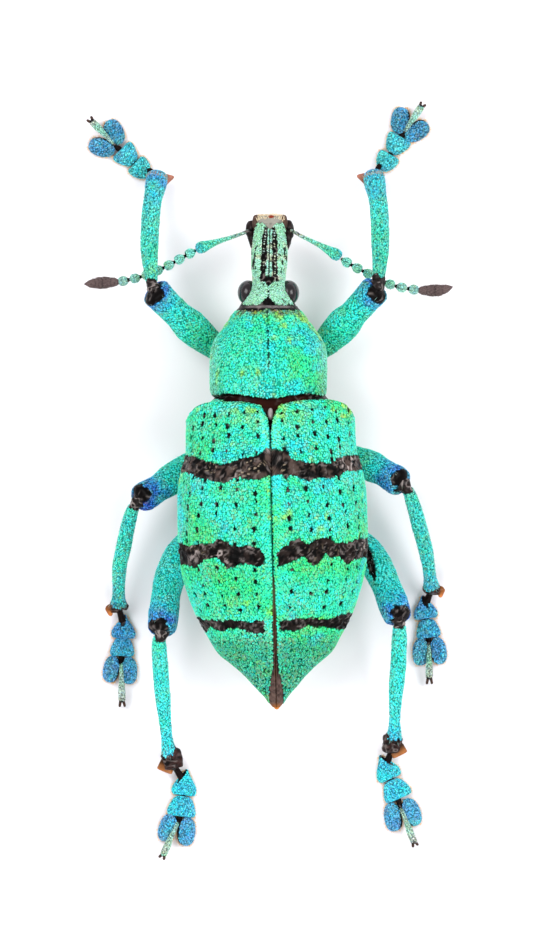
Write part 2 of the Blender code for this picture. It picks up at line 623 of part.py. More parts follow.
def foot(name, pair, finish, collection):
    """Three toe pads, the third two-lobed, and the claw joint, flat on the ground below."""
    ankle = Vector(SHIN_ROUTE[name][-1])
    middle = Vector((0.0, 0.0, PAD_MIDDLE_Z))
    toes = [Vector((*place, 0.0)) + middle for place in TOES[name]]
    ways = [unit(toes[1] - toes[0]), unit(toes[1] - toes[0]), unit(toes[2] - toes[1])]
    pieces = []
    for toe, way, half, long in zip(toes, ways, PAD_HALF[pair], PAD_LONG[pair]):
        pieces.append(ellipsoid("pad", toe, (long, half, PAD_TALL), finish, collection,
                                PAD_SIDES, 6, math.atan2(way.y, way.x)))
    heading = math.atan2(ways[2].y, ways[2].x)
    for sign in (-1, 1):
        turn = heading + sign * LOBE_TURN
        beside = Vector((-ways[2].y, ways[2].x, 0.0)) * sign * LOBE_HALF[pair] * LOBE_APART
        pieces.append(ellipsoid("lobe", toes[2] + beside, (LOBE_LONG[pair], LOBE_HALF[pair], PAD_TALL),
                                None, collection, PAD_SIDES, 6, turn))
    towards = unit(toes[0] - ankle)
    near = ankle + towards * (ANKLE_ROOM[pair] + GAP)
    radii = ((0.0, LINK_RADIUS), (1.0, LINK_RADIUS))
    for start, end in zip((near, *toes), toes):
        route = (start, (start + end) / 2, end)
        pieces.append(as_mesh(tube("link", route, radii, None, collection, (0.1, 0.1), 2, 1)))
    pieces += claw_joint(toes, name, collection)
    body = pieces.pop(0)
    body.name = f"leg_{name}_tarsus"
    boolean(body, pieces, "UNION")
    boolean(body, [ground_block(collection)], "DIFFERENCE")


def ground_block(collection):
    """A block whose top is the ground, to cut the soles flat."""
    mesh = bpy.data.meshes.new("ground")
    shape = bmesh.new()
    bmesh.ops.create_cube(shape, size=GROUND_BLOCK * MM)
    bmesh.ops.translate(shape, vec=(0.0, 0.0, -GROUND_BLOCK / 2 * MM), verts=shape.verts)
    shape.to_mesh(mesh)
    shape.free()
    return placed("ground", mesh, None, collection)


def claw_joint(toes, name, collection):
    """The thin last joint, which rises between the lobes, and its two claws."""
    tip = Vector((*CLAW_TIP[name], PAD_MIDDLE_Z))
    heading = unit(tip - toes[2])
    end = tip - heading * CLAW_REACH + Vector((0.0, 0.0, SHAFT_END_UP))
    start = toes[1] + Vector((0.0, 0.0, SHAFT_START_UP))
    middle = (start + end) / 2 + Vector((0.0, 0.0, SHAFT_RISE))
    radii = ((0.0, SHAFT_RADIUS), (1.0, SHAFT_RADIUS))
    made = [as_mesh(tube("shaft", (start, middle, end), radii, None, collection, (0.1, 0.15), 5, 1))]
    beside = Vector((-heading.y, heading.x, 0.0))
    for sign in (-1, 1):
        root = end - heading * CLAW_ROOT[0] + beside * sign * CLAW_ROOT[1]
        bend = end + heading * CLAW_REACH * CLAW_BEND[0] + beside * sign * CLAW_BEND[1]
        bend.z += CLAW_BEND[2]
        point = tip + beside * sign * CLAW_POINT[0]
        point.z = CLAW_POINT[1]
        made.append(as_mesh(tube("claw", (root, bend, point), CLAW_RADII, None, collection,
                                 (0.08, 0.1), 2, 1)))
    return made


def scutellum(finish, collection):
    """The small wedge between the bases of the wing cases."""
    return ellipsoid("scutellum", SCUTELLUM_CENTRE, SCUTELLUM_RADII, finish, collection, 10, 6)


def main():
    clear_scene()
    beetle = bpy.data.collections.new("weevil")
    bpy.context.scene.collection.children.link(beetle)
    green = material("green_scales", SCALE_GREEN, 0.42, 0.2)
    blue = material("blue_scales", SCALE_BLUE, 0.42, 0.2)
    black = material("black_cuticle", CUTICLE, 0.3)
    felt = material("felted_club", FELT, 0.8)

    waist = bpy.data.objects.new("waist", None)
    beetle.objects.link(waist)
    turn = Matrix.Rotation(TAIL_TURN, 4, "Z")
    pivot = WAIST * MM
    waist.matrix_world = Matrix.Translation(pivot) @ turn @ Matrix.Translation(-pivot)

    head(green, beetle)
    snout(green, beetle)
    front_ring(green, beetle)
    for plate in (thorax, abdomen):
        plate(green, beetle).parent = waist
    scutellum(black, beetle).parent = waist
    for side in ("left", "right"):
        sign = -1 if side == "left" else 1
        wing_case(side, green, beetle).parent = waist
        ellipsoid(f"eye_{side}", (sign * EYE_CENTRE.x, *EYE_CENTRE.yz), EYE_RADII, black, beetle, 12, 10)
        jaw = [(sign * x, y, z) for x, y, z in JAW_ROUTE]
        tube(f"mandible_{side}", jaw, JAW_RADII, black, beetle, (0.06, 0.1), 3, 2)
        antenna(side, green, felt, beetle)
    for name in THIGH_ROUTE:
        leg(name, green, blue, black, beetle, waist)


main()
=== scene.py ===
"""A life-size turquoise weevil with black bands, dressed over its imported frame.

Lengths are millimetres until they enter a mesh. +Y is towards the head and the soles lie on Z = 0.
"""

import math
from functools import partial

import bmesh
import bpy
import numpy as np
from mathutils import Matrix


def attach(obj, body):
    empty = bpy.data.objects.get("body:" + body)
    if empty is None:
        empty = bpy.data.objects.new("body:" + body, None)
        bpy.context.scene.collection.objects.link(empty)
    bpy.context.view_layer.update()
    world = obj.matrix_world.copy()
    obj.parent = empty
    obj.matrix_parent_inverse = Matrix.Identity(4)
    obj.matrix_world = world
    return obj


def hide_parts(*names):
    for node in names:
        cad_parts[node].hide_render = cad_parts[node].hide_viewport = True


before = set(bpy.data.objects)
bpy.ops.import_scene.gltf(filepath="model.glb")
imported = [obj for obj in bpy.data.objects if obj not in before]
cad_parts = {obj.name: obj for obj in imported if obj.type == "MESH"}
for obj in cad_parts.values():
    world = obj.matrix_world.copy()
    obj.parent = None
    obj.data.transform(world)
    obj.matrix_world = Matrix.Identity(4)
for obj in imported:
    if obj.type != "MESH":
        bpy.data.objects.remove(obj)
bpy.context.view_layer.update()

# Wing cases
# The two hard shells that cover the hind body. The real ones are black cuticle with rows of pits,
# tiled with flat turquoise scales except on three ragged bands and along the seam between them.
MM = 0.001
SIGN = {"left": -1, "right": 1}  # of the sideways places
TAIL_TURN = math.radians(1.2)  # the hind body is set slightly askew
WAIST = np.array((0.0, 4.6, 0.0))
ASIDE = np.array((0.08, 0.0, 0.0))  # its middle line lies slightly to the right
COAT_DEPTH = 0.05  # the skin lies this far inside the solids, under the scales
# Half width, ridge, widest line and lower edge of the wing cases along the body
WING_Y = (4.6, 1.7, 0.5, -1.0, -3.5, -5.0, -6.5, -7.7, -8.9, -9.8, -10.3, -11.0, -11.9, -12.3, -12.7, -12.95)
WING_HALF = (4.78, 4.86, 5.17, 5.38, 5.4, 5.25, 4.87, 4.41, 3.77, 3.22, 2.62, 1.85, 1.05, 0.7, 0.42, 0.2)
RIDGE_Y = (4.6, 3.0, 0.5, -2.0, -4.5, -7.0, -9.0, -10.5, -12.0, -12.95)
RIDGE_Z = (8.35, 8.95, 9.7, 9.9, 9.5, 8.3, 6.8, 5.3, 4.0, 3.4)
WIDEST_Z = (5.7, 5.6, 5.5, 5.4, 5.2, 4.8, 4.3, 3.8, 3.2, 2.95)
EDGE_Z = (4.3, 4.25, 4.1, 3.95, 3.85, 3.7, 3.4, 3.1, 2.8, 2.6)
WING_TIP_Y = -12.95
# The front edge: how far forward it reaches at shares of the way out from the seam
BASE_SHARE = (0.0, 0.06, 0.12, 0.42, 0.68, 0.82, 0.9, 0.95, 1.0)
BASE_Y = (3.3, 3.8, 4.3, 4.52, 4.54, 4.42, 4.22, 3.98, 3.5)
LIP = 0.7  # the front edge curves down over this length
LIP_DROP = 0.45
WING_THICK = 0.5
RIM = 0.1  # radius of the rolled edge
INNER_RIM = 0.3  # the inner face closes up to the outer one over this width
SIDE_FROM = 0.82  # share of the section at its widest line
TUCK = 0.05  # how far the side draws in below it
FULLNESS = 2.25  # power of the superellipse
WING_ROWS = 270
WING_COLUMNS = 140

# Band edges as (sideways, forward) places of the upper and the lower edge, seen from above
BANDS = (
    (
        ((-4.56, 1.42), (-3.59, 1.13), (-2.63, 0.85), (-1.61, 1.19), (-0.59, 1.42), (-0.14, 1.81),
         (0.18, 1.82), (1.13, 1.58), (1.32, 1.21), (2.26, 0.98), (3.59, 0.98), (3.82, 1.25), (4.73, 1.44)),
        ((-4.67, 0.4), (-3.88, 0.11), (-3.14, -0.11), (-2.29, -0.11), (-1.61, 0.11), (-0.59, 0.0),
         (0.22, 0.27), (0.93, 0.3), (1.7, 0.11), (2.3, -0.11), (2.83, 0.11), (3.59, 0.07), (4.35, 0.45),
         (4.73, 0.53)),
        (-9.0, 9.0),
    ),
    (
        ((-5.01, -3.52), (-4.44, -3.65), (-3.28, -3.57), (-2.84, -3.31), (-2.32, -3.48), (-1.98, -3.74),
         (-1.28, -3.65), (-0.46, -3.83), (-0.24, -4.13)),
        ((-4.88, -4.82), (-4.62, -4.73), (-4.19, -5.04), (-3.54, -4.47), (-2.84, -4.43), (-2.32, -5.04),
         (-2.02, -4.99), (-1.71, -4.73), (-1.02, -4.78), (-0.63, -4.95), (-0.24, -4.73)),
        (-9.0, -0.22),
    ),
    (
        ((0.49, -4.04), (0.93, -3.69), (1.32, -3.44), (1.75, -3.26), (2.05, -3.52), (2.48, -3.48),
         (3.0, -3.17), (3.48, -3.26), (3.79, -3.52), (4.57, -3.52), (5.0, -3.31), (5.52, -3.26)),
        ((0.67, -4.86), (1.62, -4.47), (2.05, -4.3), (2.22, -4.69), (2.58, -4.82), (2.88, -4.69),
         (3.22, -4.13), (3.53, -4.39), (3.96, -4.34), (4.48, -4.82), (4.78, -4.52), (5.39, -4.39)),
        (0.5, 9.0),
    ),
    (
        ((-4.14, -7.64), (-3.71, -7.86), (-2.58, -7.94), (-1.98, -7.86), (-1.15, -7.98), (-0.2, -7.94)),
        ((-3.8, -8.42), (-3.49, -8.64), (-3.28, -8.33), (-2.84, -8.55), (-1.76, -8.33), (-1.02, -8.68),
         (-0.24, -8.64)),
        (-9.0, -0.22),
    ),
    (
        ((0.75, -7.94), (1.27, -7.85), (2.75, -7.77), (3.53, -7.85), (3.83, -7.64), (4.61, -7.51)),
        ((0.67, -8.59), (1.1, -8.46), (1.49, -8.59), (2.22, -8.24), (3.44, -8.41), (4.09, -8.5)),
        (0.62, 9.0),
    ),
)
BAND_RAGGED = 0.07
# Shares of brown, painted highlights on ridge tops, and crumbs at four places along the body, front to back
BAND_AT = (1.5, -1.0, -4.0, -8.0)
BAND_SHARES = ((0.75, 0.3, 0.15, 0.1), (0.85, 0.65, 0.7, 0.1), (0.9, 0.3, 0.2, 0.0))
SUTURE_Y = (4.6, 3.3, 2.6, 0.0, -4.0, -5.5, -7.5, -9.0, -10.6, -11.3, -11.9, -12.3, -12.6, -13.0)
SUTURE_HALF = (0.3, 0.14, 0.04, 0.02, 0.03, 0.05, 0.12, 0.14, 0.17, 0.3, 0.42, 0.42, 0.4, 0.3)
# Pit rows: share of the half width at the shoulders and at the middle
PIT_ROWS = ((0.135, 0.2), (0.31, 0.42), (0.49, 0.62), (0.65, 0.81), (0.79, 0.93), (0.93, 0.995))
PIT_BEND_Y = (4.0, 0.0, -4.0, -8.0)
PIT_SPAN = (3.9, -7.6, -0.74)  # first and last place along the body, and the step
PIT_RADIUS = (0.095, 0.16)
PIT_DEPTH = 0.13
PIT_SEED = {"left": 7, "right": 8}
HIND_PIT_ROWS = np.linspace(0.16, 0.97, 9)
HIND_PIT_SPAN = (-8.8, -12.4, -0.42)
HIND_PIT_RADIUS = (0.05, 0.075)
WING_SEED = {"left": 11, "right": 12}
WING_TINT = {"left": (40, 0.5), "right": (60, 0.62)}  # seed, and the noise from which lime starts
HIND_DARKENING = (0.5, 0.03, 0.1)  # of red, green and blue towards the tip
TINT_RANGE = (0.003, 0.9)
SCALE_STEP = 0.125  # spacing of the scales


def paint(red, green, blue):
    """Linear colour of a screen colour with parts from 0 to 255."""
    part = np.array((red, green, blue)) / 255
    return np.where(part > 0.04045, ((part + 0.055) / 1.055) ** 2.4, part / 12.92)


CUTICLE = paint(10, 8, 8)
TURQUOISE = paint(48, 248, 206)
GREEN = paint(44, 241, 152)
CYAN = paint(40, 215, 238)
LIME = paint(165, 235, 90)
MINT = paint(150, 240, 195)
DEEP = paint(20, 150, 120)
HORN = paint(196, 118, 52)
DUST = paint(200, 148, 74)
BAND_BROWN = paint(88, 73, 67)  # the dull brown of the first band
PAINTED_HIGHLIGHT = paint(176, 164, 160)  # painted highlights on the ridge tops of the bands and along creases of bare cuticle
BAND_SPECK = paint(165, 148, 125)  # crumbs of pale wax
APEX_COLOUR = paint(92, 74, 68)  # the felted grey-brown patch at the wing tips
SEAM_COLOUR = paint(104, 76, 58)  # the brown edges that meet along the seam behind
PAINTED_GLINT_SHARE = 0.25  # how far painted highlights along creases pale the bare cuticle
UNDER_SCALES = 0.28  # a skin keeps this share of its scales' colour, for deeper scales and painted shade in the gaps between them


def through(stations, values, at):
    """Smooth curve through a few values that never overshoots them (monotone cubic)."""
    x = np.asarray(stations, float)
    y = np.asarray(values, float)
    if x[0] > x[-1]:
        x, y = x[::-1], y[::-1]
    step = np.diff(x)
    slope = np.diff(y) / step
    before, after = slope[:-1], slope[1:]
    rising = before * after > 0
    tangent = np.concatenate([slope[:1], np.zeros(len(step) - 1), slope[-1:]])
    tangent[1:-1][rising] = 2 * before[rising] * after[rising] / (before + after)[rising]
    at = np.clip(np.asarray(at, float), x[0], x[-1])
    i = np.clip(np.searchsorted(x, at, side="right") - 1, 0, len(step) - 1)
    t = (at - x[i]) / step[i]
    return (
        (2 * t**3 - 3 * t**2 + 1) * y[i]
        + (t**3 - 2 * t**2 + t) * step[i] * tangent[i]
        + (3 * t**2 - 2 * t**3) * y[i + 1]
        + (t**3 - t**2) * step[i] * tangent[i + 1]
    )


def noise(points, cell, seed):
    """Smooth noise from -1 to 1: hashed values at the corners of cubic cells, blended between."""
    place = np.asarray(points, float) / cell + 1000.0
    corner = np.floor(place).astype(np.int64)
    part = place - corner
    part = part * part * (3 - 2 * part)
    total = np.zeros(place.shape[:-1])
    for dx in (0, 1):
        for dy in (0, 1):
            for dz in (0, 1):
                key = (corner[..., 0] + dx) * 374761393 + (corner[..., 1] + dy) * 668265263
                key = (key + (corner[..., 2] + dz) * 2147483647 + seed * 974711) & 0xFFFFFFFF
                key = ((key ^ (key >> 13)) * 1274126177) & 0xFFFFFFFF
                value = ((key ^ (key >> 16)) & 0xFFFF) / 32767.5 - 1
                weight = (
                    np.where(dx, part[..., 0], 1 - part[..., 0])
                    * np.where(dy, part[..., 1], 1 - part[..., 1])
                    * np.where(dz, part[..., 2], 1 - part[..., 2])
                )
                total += value * weight
    return total


def smooth(low, high, value):
    """0 below low, 1 above high, and an even S between."""
    t = np.clip((value - low) / (high - low), 0, 1)
    return t * t * (3 - 2 * t)


def quarter(share):
    """Height of a quarter circle: 1 at a share of 0, falling to 0 at 1."""
    return np.sqrt(1 - np.clip(share, 0, 1) ** 2)


def travelled(points, axis=0):
    """Length travelled from the first point along one direction of a line or grid of points."""
    steps = np.cumsum(np.linalg.norm(np.diff(points, axis=axis), axis=-1), axis=axis)
    return np.concatenate([np.zeros_like(steps.take([0], axis)), steps], axis=axis)


def patches(points, cell, seed, low, high):
    """Share of cover in soft-edged patches: noise of a cell size, between a low and a high value."""
    return smooth(low, high, noise(points, cell, seed))


def unit(vectors):
    """The same directions with a length of one."""
    return vectors / np.maximum(np.linalg.norm(vectors, axis=-1, keepdims=True), 1e-12)


def normals_of(grid, wrap=False):
    """Unit normals of a grid of points, from the cross product of its two directions."""
    around = np.roll(grid, -1, axis=1) - np.roll(grid, 1, axis=1) if wrap else np.gradient(grid, axis=1)
    return unit(np.cross(np.gradient(grid, axis=0), around))


def linked(name, data):
    """An object for some data, in the scene."""
    made = bpy.data.objects.new(name, data)
    bpy.context.scene.collection.objects.link(made)
    return made


def put(name, points, polygons, tint=None, uv=None, uv_name="UVMap"):
    """An object from arrays: points in millimetres, and blocks of faces with equal corner counts."""
    counts = np.concatenate([np.full(len(block), block.shape[1]) for block in polygons])
    corners = np.concatenate([block.ravel() for block in polygons])
    mesh = bpy.data.meshes.new(name)
    mesh.vertices.add(len(points))
    mesh.vertices.foreach_set("co", (np.asarray(points) * MM).astype(np.float32).ravel())
    mesh.loops.add(len(corners))
    mesh.loops.foreach_set("vertex_index", corners.astype(np.int32))
    mesh.polygons.add(len(counts))
    starts = np.concatenate([[0], np.cumsum(counts)[:-1]])
    mesh.polygons.foreach_set("loop_start", starts.astype(np.int32))
    mesh.update(calc_edges=True)
    mesh.shade_smooth()
    if uv is not None:
        layer = mesh.uv_layers.new(name=uv_name)
        layer.data.foreach_set("uv", np.asarray(uv, np.float32).ravel())
    if tint is not None:
        colour = np.ones((len(points), 4), np.float32)
        colour[:, :3] = tint
        layer = mesh.color_attributes.new("tint", "FLOAT_COLOR", "POINT")
        layer.data.foreach_set("color", colour.ravel())
    return linked(name, mesh)


def closed_skin(name, grid, tint=None):
    """Closed body over rings of points: quads between rings, and a fan of triangles at each end."""
    rings, sides = grid.shape[:2]
    points = np.concatenate([grid.reshape(-1, 3), grid[[0, -1]].mean(axis=1)])
    i, j = np.meshgrid(np.arange(rings - 1), np.arange(sides), indexing="ij")
    down = np.stack([i, i, i + 1, i + 1], -1).reshape(-1, 4)
    around = np.stack([j, j + 1, j + 1, j], -1).reshape(-1, 4)
    blocks = [down * sides + around % sides]
    uvs = [np.stack([around / sides, down / (rings - 1)], -1).reshape(-1, 2)]
    j = np.arange(sides)
    for end, fan in ((0, (j + 0.5, j + 1, j)), (1, (j + 0.5, j, j + 1))):
        row = end * (rings - 1) * sides
        rim = [row + side % sides for side in fan[1:]]
        blocks.append(np.stack([np.full(sides, rings * sides + end), *rim], -1))
        uvs.append(np.stack([np.stack(fan, -1) / sides, np.full((sides, 3), float(end))], -1).reshape(-1, 2))
    a, b, c, d = (points[blocks[0][:, n]] for n in range(4))
    volume = np.einsum("ij,ij->", a, np.cross(b, c)) + np.einsum("ij,ij->", a, np.cross(c, d))
    if volume < 0:
        uvs = [uv.reshape(len(block), -1, 2)[:, ::-1].reshape(-1, 2) for uv, block in zip(uvs, blocks)]
        blocks = [block[:, ::-1] for block in blocks]
    if tint is not None:
        tint = np.concatenate([tint.reshape(-1, 3), tint[[0, -1]].mean(axis=1)])
    return put(name, points, blocks, tint, np.concatenate(uvs))


def weld(made):
    """Merges points that coincide, so that seams and poles are closed."""
    shape = bmesh.new()
    shape.from_mesh(made.data)
    bmesh.ops.remove_doubles(shape, verts=shape.verts, dist=2e-7)
    shape.to_mesh(made.data)
    shape.free()


COAT_ROUGHNESS = 0.2
GRAIN_HEIGHT = 0.01


def plain(name, values):
    """A Principled material with some values on its sockets, its nodes and its shader."""
    made = bpy.data.materials.new(name)
    made.use_nodes = True
    shader = made.node_tree.nodes["Principled BSDF"]
    for socket, value in values:
        shader.inputs[socket].default_value = value
    return made, made.node_tree, shader


def tinted(name, roughness, specular=0.5, coat=0.0, grain=0.0, grain_size=0.05):
    """Principled finish whose base colour is the piece's own tint, with a fine grain as bump."""
    made, tree, shader = plain(name, (("Roughness", roughness), ("Specular IOR Level", specular),
                                      ("Coat Weight", coat), ("Coat Roughness", COAT_ROUGHNESS)))
    tint = tree.nodes.new("ShaderNodeAttribute")
    tint.attribute_name = "tint"
    tree.links.new(tint.outputs["Color"], shader.inputs["Base Color"])
    if grain:
        place = tree.nodes.new("ShaderNodeTexCoord")
        texture = tree.nodes.new("ShaderNodeTexNoise")
        texture.inputs["Scale"].default_value = 1 / (grain_size * MM)
        texture.inputs["Detail"].default_value = 3.0
        bump = tree.nodes.new("ShaderNodeBump")
        bump.inputs["Strength"].default_value = grain
        bump.inputs["Distance"].default_value = GRAIN_HEIGHT * MM
        tree.links.new(place.outputs["Object"], texture.inputs["Vector"])
        tree.links.new(texture.outputs["Fac"], bump.inputs["Height"])
        tree.links.new(bump.outputs["Normal"], shader.inputs["Normal"])
    return made


skin_finish = tinted("skin_cuticle", 0.27, 0.03, 0.0, 0.5)
scale_finish = tinted("scale_gloss", 0.42, 0.5, 0.15)


def placed(made, finish, nodes=()):
    """A made piece with its finish, riding on the body and standing for the named solids."""
    made.data.materials.append(finish)
    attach(made, "root")
    if nodes:
        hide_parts(*nodes)


def blend(base, other, amount):
    """Mix of two colours by an amount, which may differ from point to point."""
    return base + (other - base) * np.asarray(amount)[..., None]


def body_tint(points, seed, lime_at=0.42, cyan_at=0.3):
    """Turquoise that drifts to green, with cyan clouds and lime clouds over it."""
    wide = noise(points, 2.2, seed) + 0.5 * noise(points, 0.9, seed + 1)
    colour = blend(TURQUOISE, GREEN, smooth(-0.8, 0.8, wide))
    cool = noise(points, 1.3, seed + 2) + 0.6 * noise(points, 0.35, seed + 3)
    colour = blend(colour, CYAN, 0.62 * smooth(cyan_at, cyan_at + 0.7, cool))
    warm = noise(points, 1.0, seed + 4) + 0.7 * noise(points, 0.3, seed + 5)
    return blend(colour, LIME, 0.8 * smooth(lime_at, lime_at + 0.6, warm))


def sample(field, row, column, wrap):
    """Values of a grid between its points, blended over the four around each place."""
    rows, columns = field.shape[:2]
    i = np.clip(np.floor(row).astype(int), 0, rows - 2)
    j = np.floor(column).astype(int)
    a, b = (row - i)[:, None], (column - j)[:, None]
    j = j % columns if wrap else np.clip(j, 0, columns - 2)
    k = (j + 1) % columns
    near = field[i, j] * (1 - b) + field[i, k] * b
    far = field[i + 1, j] * (1 - b) + field[i + 1, k] * b
    return near * (1 - a) + far * a


RIM_TURN = np.arange(6) * math.pi / 3 + math.pi / 6
SCALE_SHAPE = np.array([(math.cos(a), math.sin(a), 0.0) for a in RIM_TURN] + [(0.0, 0.0, 1.0)])
SCALE_SIZE = np.array((0.62, 0.51, 0.0))  # half length and half width over the step
SCALE_THICK = 0.022
SCALE_LIFT = 0.012
SCALE_TILT = 0.16
SCALE_TURN = 0.4
ROW_SPACING = 0.86  # over the spacing within a row
ALONG_SPREAD = 0.34  # of the scales' places, over the spacing
ASIDE_SPREAD = 0.3
SIZE_SPREAD = (0.84, 1.18)
EDGE_SPREAD = (0.35, 0.65)  # the cover from which a scale is laid
RIM_SHADE = 0.84
SHADE_SPREAD = 0.26
HUE_DRIFT = np.array((0.03, 0.01, -0.05))
PATCH_RADIUS = 0.0015  # of a scale's patch on the unwrap


def scale_places(grid, step, wrap, rng):
    """Rows and columns of the scales on a skin grid, in offset rows spaced by its real length."""
    rings, sides = grid.shape[:2]
    span = np.linalg.norm(np.diff(grid, axis=0), axis=2)
    travel = np.concatenate([[0], np.cumsum(np.percentile(span, 60, axis=1))])
    count = max(2, int(travel[-1] / (step * ROW_SPACING)))
    columns = np.arange(sides + 1 if wrap else sides, dtype=float)
    row_at, column_at = [], []
    for n, distance in enumerate((np.arange(count) + 0.5) * travel[-1] / count):
        row = np.interp(distance, travel, np.arange(rings))
        reach = travelled(sample(grid, np.full(len(columns), row), columns, wrap))
        pieces = max(3, int(round(reach[-1] / step)))
        places = (np.arange(pieces) + 0.25 + 0.5 * (n % 2)) / pieces * reach[-1]
        places = places + rng.uniform(-ASIDE_SPREAD, ASIDE_SPREAD, pieces) * step
        column_at.append(np.interp(places, reach, columns))
        spread = rng.uniform(-ALONG_SPREAD, ALONG_SPREAD, pieces) * step * rings / travel[-1]
        row_at.append(np.full(pieces, row) + spread)
    column = np.concatenate(column_at)
    return np.clip(np.concatenate(row_at), 0, rings - 1.001), column % sides if wrap else column


def scale_points(root, up, ahead, step, rng):
    """Seven points of each scale: a six-sided lens, raised in its middle and at its free end."""
    ahead = unit(ahead - up * np.einsum("ij,ij->i", ahead, up)[:, None])
    turn = rng.normal(0, SCALE_TURN, len(root))[:, None]
    way = ahead * np.cos(turn) + np.cross(up, ahead) * np.sin(turn)
    size = step * rng.uniform(*SIZE_SPREAD, (len(root), 1, 1))
    local = SCALE_SHAPE[None] * SCALE_SIZE * size
    lift = local[..., 0] * SCALE_TILT + SCALE_LIFT
    lift[:, 6] += SCALE_THICK
    return (root[:, None] + local[..., :1] * way[:, None] + local[..., 1:2] * np.cross(up, way)[:, None]
            + lift[..., None] * up[:, None])


def scale_tints(root, colour, dust, seed, rng):
    """Colour of each scale, shaded and drifting in hue, and darker or dusty on its rim."""
    count = len(root)
    shade = np.exp(rng.normal(0, SHADE_SPREAD, (count, 1)))
    drift = rng.normal(0, 1, (count, 1)) * HUE_DRIFT
    colour = np.clip(colour * shade + drift + rng.normal(0, 0.02, colour.shape), 0.006, 0.93)
    tint = np.repeat(colour[:, None], 7, axis=1)
    worn = dust * smooth(-0.2, 0.5, noise(root, 0.5, seed + 90)) * rng.random(count) ** 2
    tint[:, :6] = tint[:, :6] * RIM_SHADE + (DUST - tint[:, :6]) * worn[:, None, None]
    return tint


def lay_scales(name, grid, finish, seed, step=SCALE_STEP, wrap=True, gaps=0.02, dust=0.0):
    """Coat of closed flat scales over a skin grid, free ends towards its last row.

    finish(points, place) gives the share of cover and the colour, where place holds the row and
    column as shares. Gaps is the share of scales that are missing. On the unwrap each scale has a
    small patch at its own place on the skin.
    """
    rng = np.random.default_rng(seed)
    rings, sides = grid.shape[:2]
    row, column = scale_places(grid, step, wrap, rng)
    root = sample(grid, row, column, wrap)
    place = np.stack([row / (rings - 1), column / (sides if wrap else sides - 1)], 1)
    cover, colour = finish(root, place)
    keep = (cover > rng.uniform(*EDGE_SPREAD, len(root))) & (rng.random(len(root)) > gaps)
    root, row, column, colour, place = (values[keep] for values in (root, row, column, colour, place))
    up = unit(sample(normals_of(grid, wrap), row, column, wrap))
    points = scale_points(root, up, sample(np.gradient(grid, axis=0), row, column, wrap), step, rng)
    tint = scale_tints(root, colour, dust, seed, rng)
    base = np.arange(len(root))[:, None] * 7
    ring = np.arange(6)
    fan = np.stack([ring, (ring + 1) % 6, np.full(6, 6)], 1)
    top = (base[:, :, None] + fan[None]).reshape(-1, 3)
    under = (base + ring[::-1][None]).reshape(-1, 6)
    uv = 0.004 + 0.992 * place[:, None, ::-1] + PATCH_RADIUS * SCALE_SHAPE[:, :2]
    uv = np.concatenate([uv[:, fan.ravel()].reshape(-1, 2), uv[:, ring[::-1]].reshape(-1, 2)])
    made = put(name, points.reshape(-1, 3), [top, under], tint.reshape(-1, 3), uv, "OFBake")
    placed(made, scale_finish)


def with_painted_glints(points, tint, share, seed):
    """A tint with painted highlights: paler glints along creases, in patches over it."""
    crease = smooth(0.8, 0.97, 1 - np.abs(noise(points, 0.24, seed)))
    return blend(tint, PAINTED_HIGHLIGHT, share * crease * patches(points, 0.3, seed + 1, -0.3, 0.3))


def skin_tint(grid, finish, wrap=True):
    """Tint of a skin: dark cuticle with painted glints where bare, and a darker scale colour,
    partly painted shade, where scales cover it.
    """
    rings, sides = grid.shape[:2]
    i, j = np.meshgrid(np.arange(rings) / (rings - 1), np.arange(sides) / (sides if wrap else sides - 1),
                       indexing="ij")
    points = grid.reshape(-1, 3)
    cover, colour = finish(points, np.stack([i.ravel(), j.ravel()], 1))
    # Painted highlights along creases of the bare cuticle
    dark = with_painted_glints(points, np.broadcast_to(CUTICLE, colour.shape), PAINTED_GLINT_SHARE, 85)
    # Under scales the skin takes their colour darkened: deeper scales and painted shade between them
    return blend(dark, colour * UNDER_SCALES, cover).reshape(rings, sides, 3)


def dressed(name, grid, finish, nodes, seed, gaps=0.02, step=SCALE_STEP, tint=None, dust=0.0):
    """A skin with its scales, standing for the named solids."""
    skin = closed_skin(name, grid, skin_tint(grid, finish) if tint is None else tint)
    placed(skin, skin_finish, nodes)
    lay_scales(f"{name}_scales", grid, finish, seed, step, gaps=gaps, dust=dust)


def askew(points):
    """Places of the hind body after its small turn about the waist."""
    c, s = math.cos(TAIL_TURN), math.sin(TAIL_TURN)
    return (points - WAIST) @ np.array(((c, s, 0.0), (-s, c, 0.0), (0.0, 0.0, 1.0))) + WAIST + ASIDE


def wing_section(y, share, inset):
    """Superellipse from the ridge out to the widest line, then nearly straight down to the edge."""
    half = through(WING_Y, WING_HALF, y) - inset
    top = through(RIDGE_Y, RIDGE_Z, y) - inset
    widest = through(RIDGE_Y, WIDEST_Z, y)
    edge = through(RIDGE_Y, EDGE_Z, y)
    angle = np.clip(share / SIDE_FROM, 0, 1) * math.pi / 2
    below = np.clip((share - SIDE_FROM) / (1 - SIDE_FROM), 0, 1)
    out = np.sin(angle) ** (2.0 / FULLNESS)
    rise = np.abs(np.cos(angle)) ** (2.0 / FULLNESS)
    x = 0.012 + (half - 0.012) * out * (1 - TUCK * below**2)
    z = widest + (top - widest) * rise - (widest - edge) * below
    return x, z, out, rise


def wing_surface(side, y_share, share, inset):
    """Point of a wing case's outer face at shares of its length and of its section."""
    out = wing_section(np.zeros_like(share), share, 0.0)[2]
    front = through(BASE_SHARE, BASE_Y, out)
    y = front + (WING_TIP_Y - front) * y_share
    x, z, _, rise = wing_section(y, share, inset)
    z = z - LIP_DROP * rise * (1 - quarter(1 - (front - y) / LIP))
    return askew(np.stack([SIGN[side] * x, y, z], axis=-1))


def from_seam(points):
    """Distance sideways from the line where the wing cases meet."""
    return np.abs((points - WAIST - ASIDE) @ np.array((math.cos(TAIL_TURN), math.sin(TAIL_TURN), 0.0)))


